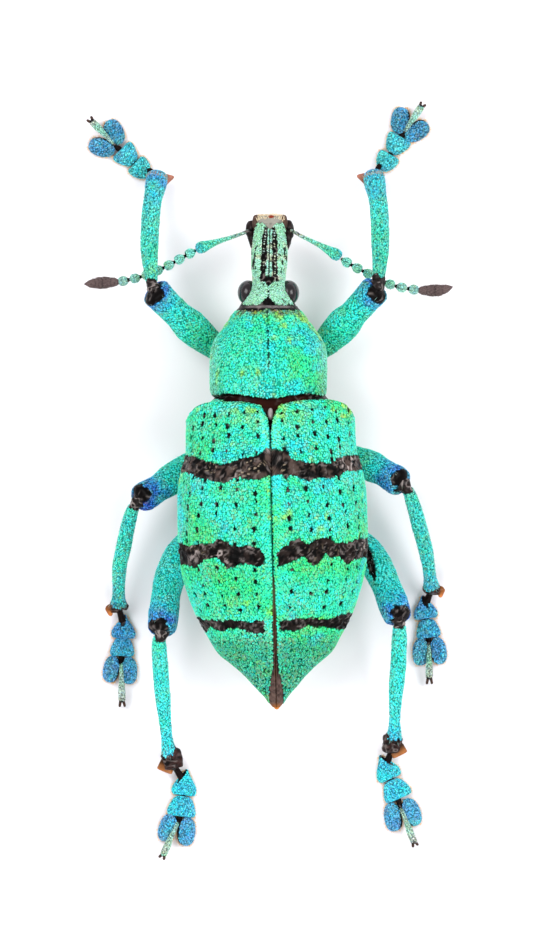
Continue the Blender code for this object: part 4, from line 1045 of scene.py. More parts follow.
# Feeler sockets, end horns and mouth
# At the snout's end a black bulge on each side carries the feeler, two blunt horn tips flank the
# mouth, the jaws are dark horn, and pale hairs fringe the front edge.
KNOB_ROUTE = ((0.95, 14.72, 3.5), (1.04, 14.2, 3.62), (0.98, 13.6, 3.7), (0.9, 12.9, 3.75))
KNOB_RADII = ((0, 0.2), (0.15, 0.3), (0.38, 0.34), (0.55, 0.27), (0.8, 0.19), (1, 0.1))
HORN_TIP_ROUTE = ((0.70, 14.05, 4.06), (0.77, 14.6, 3.92), (0.77, 15.0, 3.7))
HORN_TIP_RADII = ((0, 0.22), (0.5, 0.24), (1, 0.17))
JAW_ROUTE = ((0.35, 14.64, 3.02), (0.37, 14.86, 2.95), (0.29, 15.06, 2.88))
JAW_RADII = ((0, 0.19), (0.5, 0.18), (1, 0.11))
HORN_TIP_COLOUR = paint(84, 62, 52)
MOUTH_SPOT = (0.14, 14.86, 4.02)
MOUTH_SPOT_COLOUR = paint(112, 38, 20)
MOUTH_HAIRS = 620
SOCKET_COLOUR = paint(26, 17, 16)
HAIR_COLOUR = paint(246, 226, 190)
GROUND_GAP = 0.006  # no hair goes lower than this
HAIR_LENGTHS = (0.7, 1.25)
HAIR_SPREAD = 0.13
HAIR_BEND = 0.12
horn_finish = tinted("dark_horn", 0.3, 0.1, 0.05, 0.4)
hair_finish = tinted("pale_hair", 0.6, 0.3)


def bar_grid(route, radii, rings=40, sides=32, tall=1.0, ends=(0.15, 0.15), fullness=2.0):
    """A rounded bar along a smooth route: ovals square to it whose size follows (share, radius)
    pairs and closes over a quarter ellipse at each end."""
    route = np.asarray(route, float)
    run = travelled(route)
    length = run[-1]
    caps = np.linspace(0.1, math.pi / 2, 6)
    first, last = min(ends[0], length / 3), min(ends[1], length / 3)
    at = np.concatenate([first * (1 - np.cos(caps)), np.linspace(first, length - last, rings)[1:-1],
                         length - last * (1 - np.cos(caps))[::-1]])
    closing = np.concatenate([np.sin(caps), np.ones(rings - 2), np.sin(caps)[::-1]])
    centre = np.stack([through(run, route[:, k], at) for k in range(3)], axis=1)
    along = unit(np.gradient(centre, at, axis=0))
    beside = unit(np.cross((0.0, 0.0, 1.0), along))
    up = np.cross(along, beside)
    radius = through(*zip(*radii), at / length) * closing
    angle = np.linspace(0, 2 * math.pi, sides, endpoint=False)
    out = signed_power(np.sin(angle), 2 / fullness)[None, :, None] * beside[:, None]
    rise = signed_power(np.cos(angle), 2 / fullness)[None, :, None] * up[:, None] * tall
    return centre[:, None] + radius[:, None, None] * (out + rise)


def hairs(name, roots, ways, lengths, seed, thick=0.018, colour=HAIR_COLOUR):
    """Curved three-sided hairs, tapering from each root over a bent middle to a point."""
    rng = np.random.default_rng(seed)
    count = len(roots)
    lengths = (np.broadcast_to(lengths, count) * rng.uniform(*HAIR_LENGTHS, count))[:, None]
    ways = unit(ways)
    ways = ways + rng.normal(0, HAIR_SPREAD, ways.shape)
    beside = unit(np.cross(ways, (0.3, 0.2, 1.0)))
    up = np.cross(beside, ways)
    bend = rng.normal(0, HAIR_BEND, (count, 1)) * beside - 0.06 * up
    middle = roots + ways * lengths * 0.55 + bend * lengths * 0.4
    tip = roots + ways * lengths + bend * lengths
    turn = (np.arange(3) * 2 * math.pi / 3)[None, :, None]
    ring = (np.cos(turn) * beside[:, None] + np.sin(turn) * up[:, None]) * thick
    points = np.concatenate([roots[:, None] + ring, middle[:, None] + ring * 0.65, tip[:, None]], 1)
    points[..., 2] = np.maximum(points[..., 2], GROUND_GAP)
    base = np.arange(count)[:, None, None] * 7
    k, m = np.arange(3), (np.arange(3) + 1) % 3
    quads = np.stack([k, m, m + 3, k + 3], 1)
    fans = np.concatenate([np.stack([k + 3, m + 3, np.full(3, 6)], 1), [[2, 1, 0]]])
    tone = np.exp(rng.normal(0, 0.12, (count, 1, 1)))
    tint = np.clip(colour * tone * np.ones((1, 7, 1)), 0.003, 0.95)
    blocks = [(base + quads).reshape(-1, 4), (base + fans).reshape(-1, 3)]
    placed(put(name, points.reshape(-1, 3), blocks, tint.reshape(-1, 3)), hair_finish)


for side, sign in SIGN.items():
    mirror, shift = (sign, 1, 1), (head_middle(14.0), 0, 0)
    knob = bar_grid(np.multiply(KNOB_ROUTE, mirror), KNOB_RADII, 60, 48, tall=1.15) + shift
    knob = pushed(knob, 0.04 * noise(knob, 0.2, 68))
    bare(f"feeler_socket_{side}", knob, SOCKET_COLOUR, horn_finish, (), 0.4, 6, 0.25)
    tip = bar_grid(np.multiply(HORN_TIP_ROUTE, mirror), HORN_TIP_RADII, 30, 28) + shift
    darker = np.linspace(0.2, 1.0, len(tip))[:, None]
    bare(f"horn_tip_{side}", tip, HORN_TIP_COLOUR * darker, horn_finish, (), 0.3, 7)
    jaw = bar_grid(np.multiply(JAW_ROUTE, mirror), JAW_RADII, 24, 24, ends=(0.08, 0.14))
    bare(f"jaw_{side}", jaw, HORN * 0.45, horn_finish, (f"mandible_{side}",), 0.3, 8)
rng = np.random.default_rng(77)
mouth_x, mouth_z = rng.uniform(-0.78, 0.78, MOUTH_HAIRS), rng.uniform(3.2, 4.15, MOUTH_HAIRS)
mouth_y = 14.84 - 0.16 * smooth(3.7, 4.15, mouth_z) - 0.06 * np.abs(mouth_x)
mouth_root = np.stack([mouth_x + head_middle(14.9), mouth_y, mouth_z], axis=1)
mouth_way = np.stack([0.35 * mouth_x, np.ones(MOUTH_HAIRS), 0.35 * (mouth_z - 3.75)], axis=1)
hairs("mouth_fringe", mouth_root, mouth_way, 0.26, 78, 0.024)
bare("mouth_spot", ball(MOUTH_SPOT, (0.2, 0.14, 0.12), 24, 24), MOUTH_SPOT_COLOUR, horn_finish,
     (), 0.3, 17)

# Tail tip
# The hard orange-brown end of the hind body, a small bead just showing between the wing tips.
tail_grid = askew(ball((0.02, -12.6, 3.02), (0.24, 0.42, 0.26), 30, 32))
bare("tail_tip", tail_grid, HORN, horn_finish, (), 0.35, 16)

# Feelers
# Each elbowed antenna has a shaft that is thin and black where it leaves its socket and thick and
# mint at its end, seven mint beads on dark necks, and a pointed brown club covered in felt.
SCAPE_ROUTE = {
    "left": ((-0.86, 14.22, 4.12), (-1.72, 13.87, 3.68), (-2.9, 13.5, 3.3), (-4.1, 13.07, 3.1)),
    "right": ((1.02, 14.28, 4.12), (1.84, 13.83, 3.68), (2.9, 13.3, 3.3), (4.1, 12.62, 3.1)),
}
SCAPE_RADII = ((0, 0.075), (0.3, 0.085), (0.6, 0.13), (0.8, 0.24), (0.9, 0.32), (1, 0.25))
FUNICLE_ROUTE = {
    "left": ((-4.1, 13.02, 3.02), (-4.6, 12.76, 2.98), (-5.9, 12.05, 2.85), (-7.3, 11.5, 2.8),
             (-8.5, 11.22, 2.8)),
    "right": ((4.1, 12.55, 3.02), (4.6, 12.24, 2.98), (5.8, 11.62, 2.8), (7.1, 11.02, 2.75),
              (8.5, 10.74, 2.8)),
}
BEADS = 7
BEAD_RADIUS = 0.26
BEAD_NECK = 0.08
CLUB_ROUTE = {
    "left": ((-8.42, 11.23, 2.8), (-9.5, 11.17, 2.75), (-10.49, 11.1, 2.6)),
    "right": ((8.42, 10.74, 2.8), (9.5, 10.74, 2.75), (10.49, 10.96, 2.6)),
}
CLUB_RADII = ((0, 0.14), (0.2, 0.28), (0.5, 0.35), (0.8, 0.24), (1, 0.08))
CLUB_COLOUR = paint(78, 64, 64)
FELT_COLOUR = paint(118, 100, 96)
LIMB_HAIR = paint(140, 186, 176)
CLUB_RINGS = (0.27, 0.52, 0.74)
felt_finish = tinted("club_felt", 0.85, 0.2, 0.0, 1.0, 0.03)


def stops(share, marks):
    """Colour along a limb: straight blends between the screen colours at given shares."""
    at, *screen = zip(*marks)
    return np.stack([np.interp(share, at, part) for part in paint(*screen)], axis=-1)


def limb_finish(seed, marks, bare_to=-1.0, bare_from=2.0, dots=0.3, lime=0.2, mixed=0.3):
    """Scales coloured along a limb, missing on its bare ends and, towards its root, in dots."""

    def finish(points, place):
        share = place[:, 0] + 0.02 * noise(points, 0.15, seed)
        colour = stops(share + 0.05 * noise(points, 0.4, seed + 2), marks)
        drift = body_tint(points, seed + 1, 0.6, 0.3)
        colour = blend(colour, drift, mixed * patches(points, 0.6, seed + 7, -0.4, 0.5))
        colour = blend(colour, LIME, lime * patches(points, 0.35, seed + 8, 0.0, 0.6))
        cover = smooth(bare_to - 0.01, bare_to + 0.01, share)
        cover = cover * smooth(bare_from + 0.01, bare_from - 0.01, share)
        thin = dots * smooth(0.45, 0.0, place[:, 0])
        return cover * patches(points, 0.12, seed + 9, thin - 1.3, thin - 1.1), colour

    return finish


def bead_finish(points, place, limb):
    """The scales of a limb, with none on the dark necks between the beads."""
    cover, colour = limb(points, place)
    part = (place[:, 0] * BEADS) % 1.0
    return cover * smooth(0.16, 0.24, part) * smooth(0.97, 0.92, part), colour


def bead_radii():
    """Radius along the beads: each swells from its neck and closes roundly before the next."""
    t = np.linspace(0, 1, 15)[:-1]
    size = BEAD_NECK + (BEAD_RADIUS - BEAD_NECK) * smooth(0.0, 0.55, t) * quarter((t - 0.62) / 0.38)
    pairs = [((i + u) / BEADS, r) for i in range(BEADS) for u, r in zip(t, size)]
    return pairs + [(1.0, BEAD_NECK)]


def lying_hairs(name, grid, count, seed, length, first=10, lean=0.3, thick=0.009,
                colour=LIMB_HAIR):
    """Fine hairs that lie along a limb towards its tip."""
    rng = np.random.default_rng(seed)
    row, column = rng.integers(first, len(grid) - 6, count), rng.integers(0, grid.shape[1], count)
    out = normals_of(grid, True)[row, column]
    ahead = unit(np.gradient(grid, axis=0)[row, column])
    hairs(name, grid[row, column], lean * out + ahead, length, seed + 1, thick, colour)


SCAPE_MARKS = ((0, 110, 112, 112), (0.25, 150, 165, 160), (0.4, 125, 215, 185),
               (0.8, 90, 222, 185), (1, 60, 165, 195))
BEAD_MARKS = ((0, 120, 220, 200), (0.5, 150, 225, 205), (1, 150, 205, 195))
for side in SIGN:
    scape = bar_grid(SCAPE_ROUTE[side], SCAPE_RADII, 70, 36)
    dressed(f"feeler_shaft_{side}", scape, limb_finish(101, SCAPE_MARKS, 0.1, 0.985, 1.25, 0.0, 0.12),
            (f"antenna_{side}_scape",), 31, step=0.095)
    beads = bar_grid(FUNICLE_ROUTE[side], bead_radii(), 210, 30, ends=(0.05, 0.05))
    finish = partial(bead_finish, limb=limb_finish(103, BEAD_MARKS, dots=0.35))
    dressed(f"feeler_beads_{side}", beads, finish, (f"antenna_{side}_funicle",), 32,
            step=0.085)
    club = bar_grid(CLUB_ROUTE[side], CLUB_RADII, 110, 36, ends=(0.1, 0.3))
    share = np.linspace(0, 1, len(club))
    groove = sum(np.exp(-(((share - ring) / 0.012) ** 2)) for ring in CLUB_RINGS)
    club = pushed(club, -(0.03 * groove + 0.02)[:, None])
    shade = 1 - 0.45 * groove + 0.2 * np.sin(share * 9)
    bare(f"feeler_club_{side}", club, CLUB_COLOUR * shade[:, None], felt_finish,
         (f"antenna_{side}_club",), 0.35, 9, 0.06)
    lying_hairs(f"club_felt_{side}", club, 900, 33, 0.1, 6, 0.45, 0.008, FELT_COLOUR)

# Hips
# Six rounded hip joints sunk in the body, each with a small dark ring where the thigh turns.
HIP_CENTRE = {"front": (1.0, 6.1, 1.95), "middle": (1.75, 2.0, 1.75), "hind": (2.7, -2.05, 1.75)}
HIP_RADII = {"front": (0.8, 0.9, 0.85), "middle": (0.9, 0.85, 0.75), "hind": (1.1, 0.75, 0.65)}
THIGH_ROUTE = {
    "front_left": ((-2.2, 6.9, 1.4), (-3.3, 7.75, 2.1), (-4.9, 9.15, 3.2), (-6.55, 10.8, 4.3)),
    "front_right": ((2.2, 6.9, 1.4), (3.3, 7.85, 2.1), (4.7, 9.3, 3.2), (6.2, 10.95, 4.3)),
    "middle_left": ((-3.2, 1.6, 1.15), (-4.5, 0.85, 1.65), (-5.9, -0.25, 2.95), (-7.4, -1.15, 4.2)),
    "middle_right": ((3.2, 1.75, 1.15), (4.5, 1.35, 1.65), (6.1, 0.65, 3.0), (7.65, -0.25, 4.2)),
    "hind_left": ((-4.2, -3.2, 1.1), (-5.1, -4.3, 1.6), (-5.75, -6.2, 2.6), (-6.05, -8.65, 4.1)),
    "hind_right": ((4.3, -3.1, 1.1), (5.5, -3.9, 1.6), (6.5, -5.6, 2.6), (7.4, -7.95, 4.1)),
}
HIP_MARKS = ((0, 20, 150, 120), (1, 44, 241, 152))
JOINT_COLOUR = paint(48, 32, 28)


def hip_place(name):
    """Centre of a hip as it stands; the four behind the waist turn with the hind body."""
    pair, side = name.split("_")
    x, y, z = HIP_CENTRE[pair]
    centre = np.array((SIGN[side] * x, y, z))
    return centre if pair == "front" else askew(centre[None])[0]


def hip_edge(name):
    """Direction from a hip to its thigh, and the point where that leaves the hip."""
    centre = hip_place(name)
    way = unit(np.array(THIGH_ROUTE[name][0]) - centre)
    return way, centre + way / np.linalg.norm(way / HIP_RADII[name.split("_")[0]])


for n, name in enumerate(THIGH_ROUTE):
    pair = name.split("_")[0]
    radii = np.array(HIP_RADII[pair]) - COAT_DEPTH
    turn = 0.0 if pair == "front" else TAIL_TURN
    hip = ball(hip_place(name), radii, 36, 44, turn)
    dressed(f"hip_{name}", hip, limb_finish(110 + n, HIP_MARKS, dots=0.75), (f"leg_{name}_coxa",),
            120 + n)
    way, edge = hip_edge(name)
    route = (edge - way * 0.3, edge + way * 0.1, edge + way * 0.55)
    ring = bar_grid(route, ((0, 0.4), (0.5, 0.46), (1, 0.34)), 20, 36)
    bare(f"hip_ring_{name}", ring, JOINT_COLOUR, skin_finish, (), 0.3, 11)

# Thighs
# The stout upper legs, thickest past the middle: green scales dotted with bare cuticle near the
# body, bluer towards the knee, and bare black at the knee itself.
THIGH_RADII = {
    "front": ((0, 0.5), (0.15, 0.6), (0.32, 0.82), (0.52, 0.96), (0.7, 0.8), (0.85, 0.82), (0.95, 0.86),
              (1, 0.76)),
    "middle": ((0, 0.5), (0.2, 0.6), (0.4, 0.76), (0.6, 0.87), (0.74, 0.78), (0.9, 0.84), (1, 0.74)),
    "hind": ((0, 0.5), (0.2, 0.74), (0.35, 0.85), (0.5, 0.88), (0.68, 0.82), (0.85, 0.87), (1, 0.76)),
}
LIMB_COAT = 0.025
KNEE_TURN = 0.09  # the bare notch lies this share of a turn towards the outer side
# Colours along each thigh; the darker first stops, at the root near the body, are painted shade
THIGH_MARKS = {
    "front": ((0, 20, 120, 95), (0.2, 30, 205, 160), (0.5, 42, 246, 205),
              (0.8, 50, 220, 215), (0.92, 50, 150, 225), (1, 40, 90, 190)),
    "middle": ((0, 30, 170, 140), (0.25, 45, 248, 210), (0.66, 42, 244, 228),
               (0.8, 50, 170, 235), (0.95, 40, 105, 215), (1, 40, 80, 170)),
    "hind": ((0, 30, 200, 170), (0.2, 60, 252, 232), (0.7, 55, 250, 242),
             (0.84, 50, 185, 240), (0.95, 40, 110, 215), (1, 40, 80, 165)),
}
BARE_PATCH = (5.75, -4.62, 0.26, 1.05, 0.22)  # a rubbed strip: its place, half width, half length, slope


def thigh_finish(points, place, limb, outer, rubbed):
    """The scales of a limb, with a bare notch above the knee and, where rubbed, a bare strip."""
    cover, colour = limb(points, place)
    above = np.cos(2 * math.pi * (place[:, 1] - outer))
    knee_gap = 0.978 - 0.055 * smooth(0.3, 0.9, above) + 0.02 * noise(points, 0.22, 138)
    cover = cover * smooth(knee_gap + 0.006, knee_gap - 0.006, place[:, 0])
    if rubbed:
        at_x, at_y, half, long, slope = BARE_PATCH
        away_y = points[:, 1] - at_y
        away = np.hypot((points[:, 0] - at_x + slope * away_y) / half, away_y / long)
        cover = cover * smooth(0.85, 1.1, away + 0.15 * noise(points, 0.2, 139))
    return cover, colour


for n, name in enumerate(THIGH_ROUTE):
    pair, side = name.split("_")
    way, edge = hip_edge(name)
    radii = [(share, size - LIMB_COAT) for share, size in THIGH_RADII[pair]]
    thigh = bar_grid((edge + way * 0.25, *THIGH_ROUTE[name]), radii, 96, 52, ends=(0.25, 0.3))
    thigh = pushed(thigh, 0.02 * noise(thigh, 0.3, 130 + n))
    limb = limb_finish(140 + 12 * n, THIGH_MARKS[pair], 0.03, 2.0, 0.6, 0.15)
    outer = KNEE_TURN * SIGN[side] * (-1 if pair == "front" else 1)
    finish = partial(thigh_finish, limb=limb, outer=outer, rubbed=name == "hind_right")
    dressed(f"thigh_{name}", thigh, finish, (f"leg_{name}_femur",), 210 + n,
            gaps=0.1, step=0.118)
    lying_hairs(f"thigh_hairs_{name}", thigh, 260, 220 + n, 0.2)

# Shins
# The slender lower legs hang from a dark knee joint: green scales, a bare brown bevelled end with
# a comb of stiff hairs, and one horn-brown tooth.
SHIN_ROUTE = {
    "front_left": ((-6.64, 11.5, 4.0), (-6.75, 13.2, 3.3), (-6.66, 15.2, 2.2), (-6.24, 17.5, 1.0)),
    "front_right": ((6.26, 11.7, 4.0), (6.34, 13.2, 3.3), (6.28, 15.2, 2.2), (5.9, 17.55, 1.0)),
    "middle_left": ((-7.74, -1.8, 3.9), (-8.17, -3.6, 3.1), (-8.48, -5.3, 2.1), (-8.52, -7.2, 1.0)),
    "middle_right": ((7.97, -0.75, 3.95), (8.56, -2.7, 3.1), (9.0, -4.4, 2.1), (9.26, -6.2, 1.0)),
    "hind_left": ((-6.2, -9.12, 3.78), (-6.08, -11.2, 3.0), (-5.9, -13.4, 2.0), (-5.62, -15.85, 1.0)),
    "hind_right": ((7.42, -8.42, 3.78), (7.35, -10.5, 3.0), (7.2, -12.5, 2.0), (7.13, -14.95, 1.0)),
}
SHIN_RADII = {
    "front": ((0, 0.33), (0.15, 0.43), (0.35, 0.52), (0.75, 0.53), (0.92, 0.62), (1, 0.6)),
    "middle": ((0, 0.32), (0.15, 0.4), (0.35, 0.43), (0.6, 0.42), (0.8, 0.36), (0.9, 0.38), (1, 0.52)),
    "hind": ((0, 0.36), (0.15, 0.44), (0.45, 0.45), (0.68, 0.36), (0.8, 0.32), (0.9, 0.38), (1, 0.52)),
}
# The tooth's root, middle and tip: how far outwards and how far onwards from the shin's end
SPUR_AIM = {
    "front": ((0.0, -0.8), (0.44, -0.42), (0.92, -0.18)),
    "middle": ((0.0, 0.05), (0.52, 0.16), (0.42, 0.62)),
    "hind": ((0.02, 0.05), (0.2, 0.36), (0.36, 0.68)),
}
SPUR_RADII = {
    "front": ((0, 0.48), (0.5, 0.34), (1, 0.07)),
    "middle": ((0, 0.3), (0.5, 0.24), (1, 0.1)),
    "hind": ((0, 0.42), (0.5, 0.44), (1, 0.46)),
}
SPUR_ENDS = {"front": (0.1, 0.1), "middle": (0.1, 0.12), "hind": (0.1, 0.04)}
SPUR_FULLNESS = {"front": 2.0, "middle": 2.0, "hind": 4.0}
# The bare end of a shin: how far it reaches behind and ahead, its half width, its shift inwards
SHIN_END = {"middle": (0.5, 0.25, 0.44, 0.0), "hind": (0.8, 0.62, 0.5, 0.16)}
COMB = {"front": (0.2, paint(190, 150, 120)), "middle": (0.12, paint(120, 84, 60)),
        "hind": (0.08, paint(46, 30, 24))}  # length and colour of its hairs
COMB_HAIRS = 110
SHIN_MARKS = {
    "front": ((0, 70, 205, 180), (0.5, 66, 212, 194), (0.78, 58, 200, 214),
              (0.9, 72, 164, 222), (1, 84, 148, 212)),
    "middle": ((0, 62, 200, 190), (0.2, 58, 218, 204), (0.75, 58, 214, 206),
               (0.92, 62, 176, 204), (1, 55, 125, 190)),
    "hind": ((0, 66, 220, 205), (0.2, 58, 244, 226), (0.7, 48, 240, 236),
             (0.93, 52, 200, 236), (1, 55, 120, 185)),
}
SHIN_BARE_FROM = {"front": 1.1, "middle": 0.96, "hind": 0.93}
SPUR_COLOUR = {"front": paint(150, 96, 78), "middle": paint(196, 118, 62), "hind": paint(158, 100, 56)}
SPUR_ROOT_SHADE = {"front": 0.7, "middle": 0.08, "hind": 0.1}
KNEE_RADII = ((0, 0.4), (0.3, 0.42), (0.6, 0.32), (1, 0.3))
KNEE_COLOUR = paint(20, 13, 12)
SHIN_END_COLOUR = paint(36, 19, 17)


def spur_route(name):
    """Root, middle and tip of the tooth at a shin's end: inward on a front leg, else outward."""
    pair, side = name.split("_")
    before, ankle = np.array(SHIN_ROUTE[name][-2:])
    along = unit(ankle - before)
    across = np.array((-SIGN[side] if pair == "front" else SIGN[side], 0.0, 0.0))
    across = unit(across - along * (across @ along))
    return [ankle + across * sideways + along * onward for sideways, onward in SPUR_AIM[pair]]


for n, name in enumerate(SHIN_ROUTE):
    pair, side = name.split("_")
    thigh_before, thigh_end = np.array(THIGH_ROUTE[name][-2:])
    first, second, before, ankle = np.array(SHIN_ROUTE[name])
    onward = unit(ankle - before)
    start = thigh_end + (first - thigh_end) * 0.45
    route = (thigh_end + unit(thigh_before - thigh_end) * 0.35, start, first - unit(second - first) * 0.05)
    knee = bar_grid(route, KNEE_RADII, 50, 40)
    knee = pushed(knee, 0.09 * noise(knee, 0.22, 225 + n))
    # The glint paints highlights along the knee's creases
    bare(f"knee_{name}", knee, KNEE_COLOUR, horn_finish, (), 0.8, 12, glint=0.5)
    radii = [(share, size - LIMB_COAT) for share, size in SHIN_RADII[pair]]
    shin = bar_grid((start, *SHIN_ROUTE[name]), radii, 120, 46, ends=(0.2, 0.4 if pair == "front" else 0.16))
    shin = pushed(shin, 0.015 * noise(shin, 0.25, 230 + n))
    limb = limb_finish(240 + 12 * n, SHIN_MARKS[pair], 0.03, SHIN_BARE_FROM[pair], 0.3, 0.1)
    dressed(f"shin_{name}", shin, limb, (f"leg_{name}_tibia",), 320 + n, gaps=0.1, step=0.11)
    lying_hairs(f"shin_hairs_{name}", shin, 320, 330 + n, 0.24)
    if pair in SHIN_END:
        behind, ahead, half, shift = SHIN_END[pair]
        inner = np.array((-SIGN[side] * shift, 0.0, 0.0))
        route = (ankle - onward * behind, ankle - onward * 0.1 + inner,
                 ankle + onward * (1.0, 1.0, 0.3) * ahead + inner)
        cup = bar_grid(route, ((0, half * 0.6), (0.4, half), (0.7, half * 1.1), (1, half)), 40, 44, tall=0.85)
        cup = pushed(cup, 0.1 * noise(cup, 0.32, 235 + n) + 0.04 * noise(cup, 0.13, 236))
        # The glint paints highlights along the creases of the shin's end
        bare(f"shin_end_{name}", cup, SHIN_END_COLOUR, horn_finish, (), 1.2, 18, glint=0.25)
    tooth = bar_grid(spur_route(name), SPUR_RADII[pair], 30, 28, tall=0.6, ends=SPUR_ENDS[pair],
                     fullness=SPUR_FULLNESS[pair])
    shade = np.interp(np.linspace(0, 1, len(tooth)), (0.3, 0.9), (SPUR_ROOT_SHADE[pair], 1.0))[:, None]
    bare(f"shin_tooth_{name}", tooth, SPUR_COLOUR[pair] * shade, horn_finish, (), 0.4, 13)
    rng = np.random.default_rng(340 + n)
    column = rng.integers(0, shin.shape[1], COMB_HAIRS)
    rim = shin[-8, column] + rng.uniform(-0.04, 0.04, (COMB_HAIRS, 3))
    length, colour = COMB[pair]
    hairs(f"shin_comb_{name}", rim, onward + 0.25 * normals_of(shin, True)[-10, column], length,
          350 + n, 0.014, colour)

# Feet
# Three broad toe pads, the third split in two lobes: blue scales above, a pale orange brush round
# and below them. The thin claw joint rises between the lobes and ends in two curved claws.
TOES = {
    "front_left": ((-7.22, 17.64), (-8.03, 18.42), (-9.07, 19.29)),
    "front_right": ((6.66, 18.05), (7.26, 19.06), (7.92, 20.07)),
    "middle_left": ((-8.22, -8.34), (-8.3, -9.5), (-8.42, -10.72)),
    "middle_right": ((8.87, -7.24), (9.05, -8.46), (9.14, -9.67)),
    "hind_left": ((-4.75, -17.2), (-4.92, -18.56), (-5.18, -19.8)),
    "hind_right": ((6.65, -16.33), (7.22, -17.6), (7.58, -18.95)),
}
CLAW_TIP = {
    "front_left": (-10.2, 20.55), "front_right": (8.8, 21.4), "middle_left": (-8.31, -12.9),
    "middle_right": (9.14, -11.6), "hind_left": (-6.08, -21.5), "hind_right": (8.35, -20.8),
}
# Half widths, half lengths and hind widths (over the front ones) of the first two pads
PAD_HALF = {"front": (0.62, 0.7), "middle": (0.68, 0.68), "hind": (0.7, 0.8)}
PAD_LONG = {"front": (0.54, 0.54), "middle": (0.68, 0.53), "hind": (0.76, 0.58)}
PAD_BACK = {"front": (0.76, 0.68), "middle": (0.3, 0.72), "hind": (0.3, 0.72)}
PAD_MIDDLE_Z = 0.3
PAD_TALL = 0.36
PAD_BLUNT = ((2.0, 6.0), (3.4, 6.0), (2.2, 2.6))  # how square a pad is behind and ahead; a lobe last
SOLE_Z = 0.004
# Where round the first pad its bare wedge lies, outwards from the top, as a share of a turn
PAD_BARE = {"front": None, "middle": 0.03, "hind": 0.12}
LOBE_SIZE = {"front": (0.74, 0.52), "middle": (0.76, 0.46), "hind": (0.8, 0.5)}  # half length and width
LOBE_TURN = {"front": 0.4, "middle": 0.1, "hind": 0.1}
LOBE_APART = 1.06  # over the half width
LOBE_AHEAD = 0.06
PAD_TONES = {
    "front": (paint(70, 196, 196), paint(70, 200, 206), paint(66, 140, 176)),
    "middle": (paint(70, 140, 214), paint(66, 176, 220), paint(82, 150, 206)),
    "hind": (paint(44, 226, 244), paint(60, 214, 240), paint(86, 160, 212)),
}
CLAW_REACH = {"front": 0.12, "middle": 0.24, "hind": 0.1}
NECK_RADII = {"front": ((0, 0.2), (0.45, 0.15), (1, 0.15)), "middle": ((0, 0.3), (0.4, 0.18), (1, 0.24)),
              "hind": ((0, 0.3), (0.4, 0.17), (1, 0.24))}
PAD_COLOURS = (paint(60, 222, 230), paint(88, 176, 228), paint(105, 238, 212), paint(100, 152, 216))
BRUSH_COLOUR = paint(244, 196, 140)
BRUSH_TRIES = 1200
BRUSH_HAIRS = 190  # kept round each pad, from those that start between two heights
BRUSH_Z = (0.05, 0.32)
CLAW_COLOUR = paint(60, 42, 36)
CLAW_RADII = ((0, 0.09), (0.5, 0.07), (1, 0.02))
CLAW_SPREAD = 0.14
CLAW_POINT_Z = 0.1
PAD_NECK_RADII = ((0, 0.2), (0.6, 0.16), (1, 0.09))
NECK_LOW = 0.03  # no neck goes lower than this
SHAFT_RADII = ((0, 0.08), (0.35, 0.1), (0.8, 0.19), (1, 0.17))
SHAFT_MARKS = ((0, 90, 130, 125), (0.3, 165, 205, 190), (0.8, 185, 205, 192), (1, 120, 122, 114))


def pad_grid(centre, heading, long, half, back, blunt, rows=38, sides=44):
    """A toe pad: a flattened bell that widens from its root to a blunt front edge, cut flat at the
    ground. Its outline is a superellipse, rounder behind than in front, times a rising width."""
    polar = np.linspace(math.pi - 0.06, 0.06, rows)[:, None]
    around = np.linspace(0, 2 * math.pi, sides, endpoint=False)[None]
    s = np.cos(polar)
    power = blunt[0] + (blunt[1] - blunt[0]) * smooth(-0.4, 0.6, s)
    wide = (1 - np.abs(s) ** power) ** (1 / power)
    growing = back + (1 - back) * smooth(-0.9, 0.6, s)
    y = half * growing * wide * signed_power(np.sin(around), 0.8)
    x = long * s - 0.1 * long * (1 - (y / half) ** 2) * smooth(0.3, 1.0, s) * smooth(0.9, 0.7, back)
    z = PAD_MIDDLE_Z + PAD_TALL * np.sqrt(wide) * (0.55 + 0.45 * wide) * signed_power(np.cos(around), 0.9)
    z = np.maximum(z, SOLE_Z + 0.03 * (1 - wide))
    c, s_turn = math.cos(heading), math.sin(heading)
    return np.stack([centre[0] + c * x - s_turn * y, centre[1] + s_turn * x + c * y, z], axis=-1)


def pad_finish(points, place, seed, tone, bare_at, rim):
    """Blue and cyan scales in drifting patches above the sole, none below, on the first pad none in
    a wedge ahead of its root, and on a lobe none down its inner flank, whose bare dark cuticle
    stands as painted shade between the lobes."""
    colour = blend(PAD_COLOURS[0], PAD_COLOURS[1], patches(points, 0.7, seed, -0.35, 0.35))
    colour = blend(colour, PAD_COLOURS[2], 0.7 * patches(points, 0.5, seed + 1, 0.15, 0.6))
    colour = blend(colour, PAD_COLOURS[3], 0.5 * patches(points, 0.4, seed + 2, 0.1, 0.6))
    colour = blend(colour, tone, 0.7 + 0.3 * noise(points, 0.5, seed + 5))
    cover = smooth(0.1, 0.16, points[:, 2])
    if bare_at is not None:
        turned = np.abs((place[:, 1] - bare_at + 0.5) % 1 - 0.5)
        wedge = 0.2 * (1 - place[:, 0] / 0.56)
        cover = cover * smooth(-0.012, 0.012, turned - wedge + 0.015 * noise(points, 0.12, seed + 3))
    # A lobe's bare dark inner flank is painted shade between the two lobes
    if rim:
        inner = rim * np.sin(2 * math.pi * place[:, 1])
        cover = cover * smooth(0.86, 0.7, inner + 0.08 * noise(points, 0.15, seed + 4))
    return cover, colour


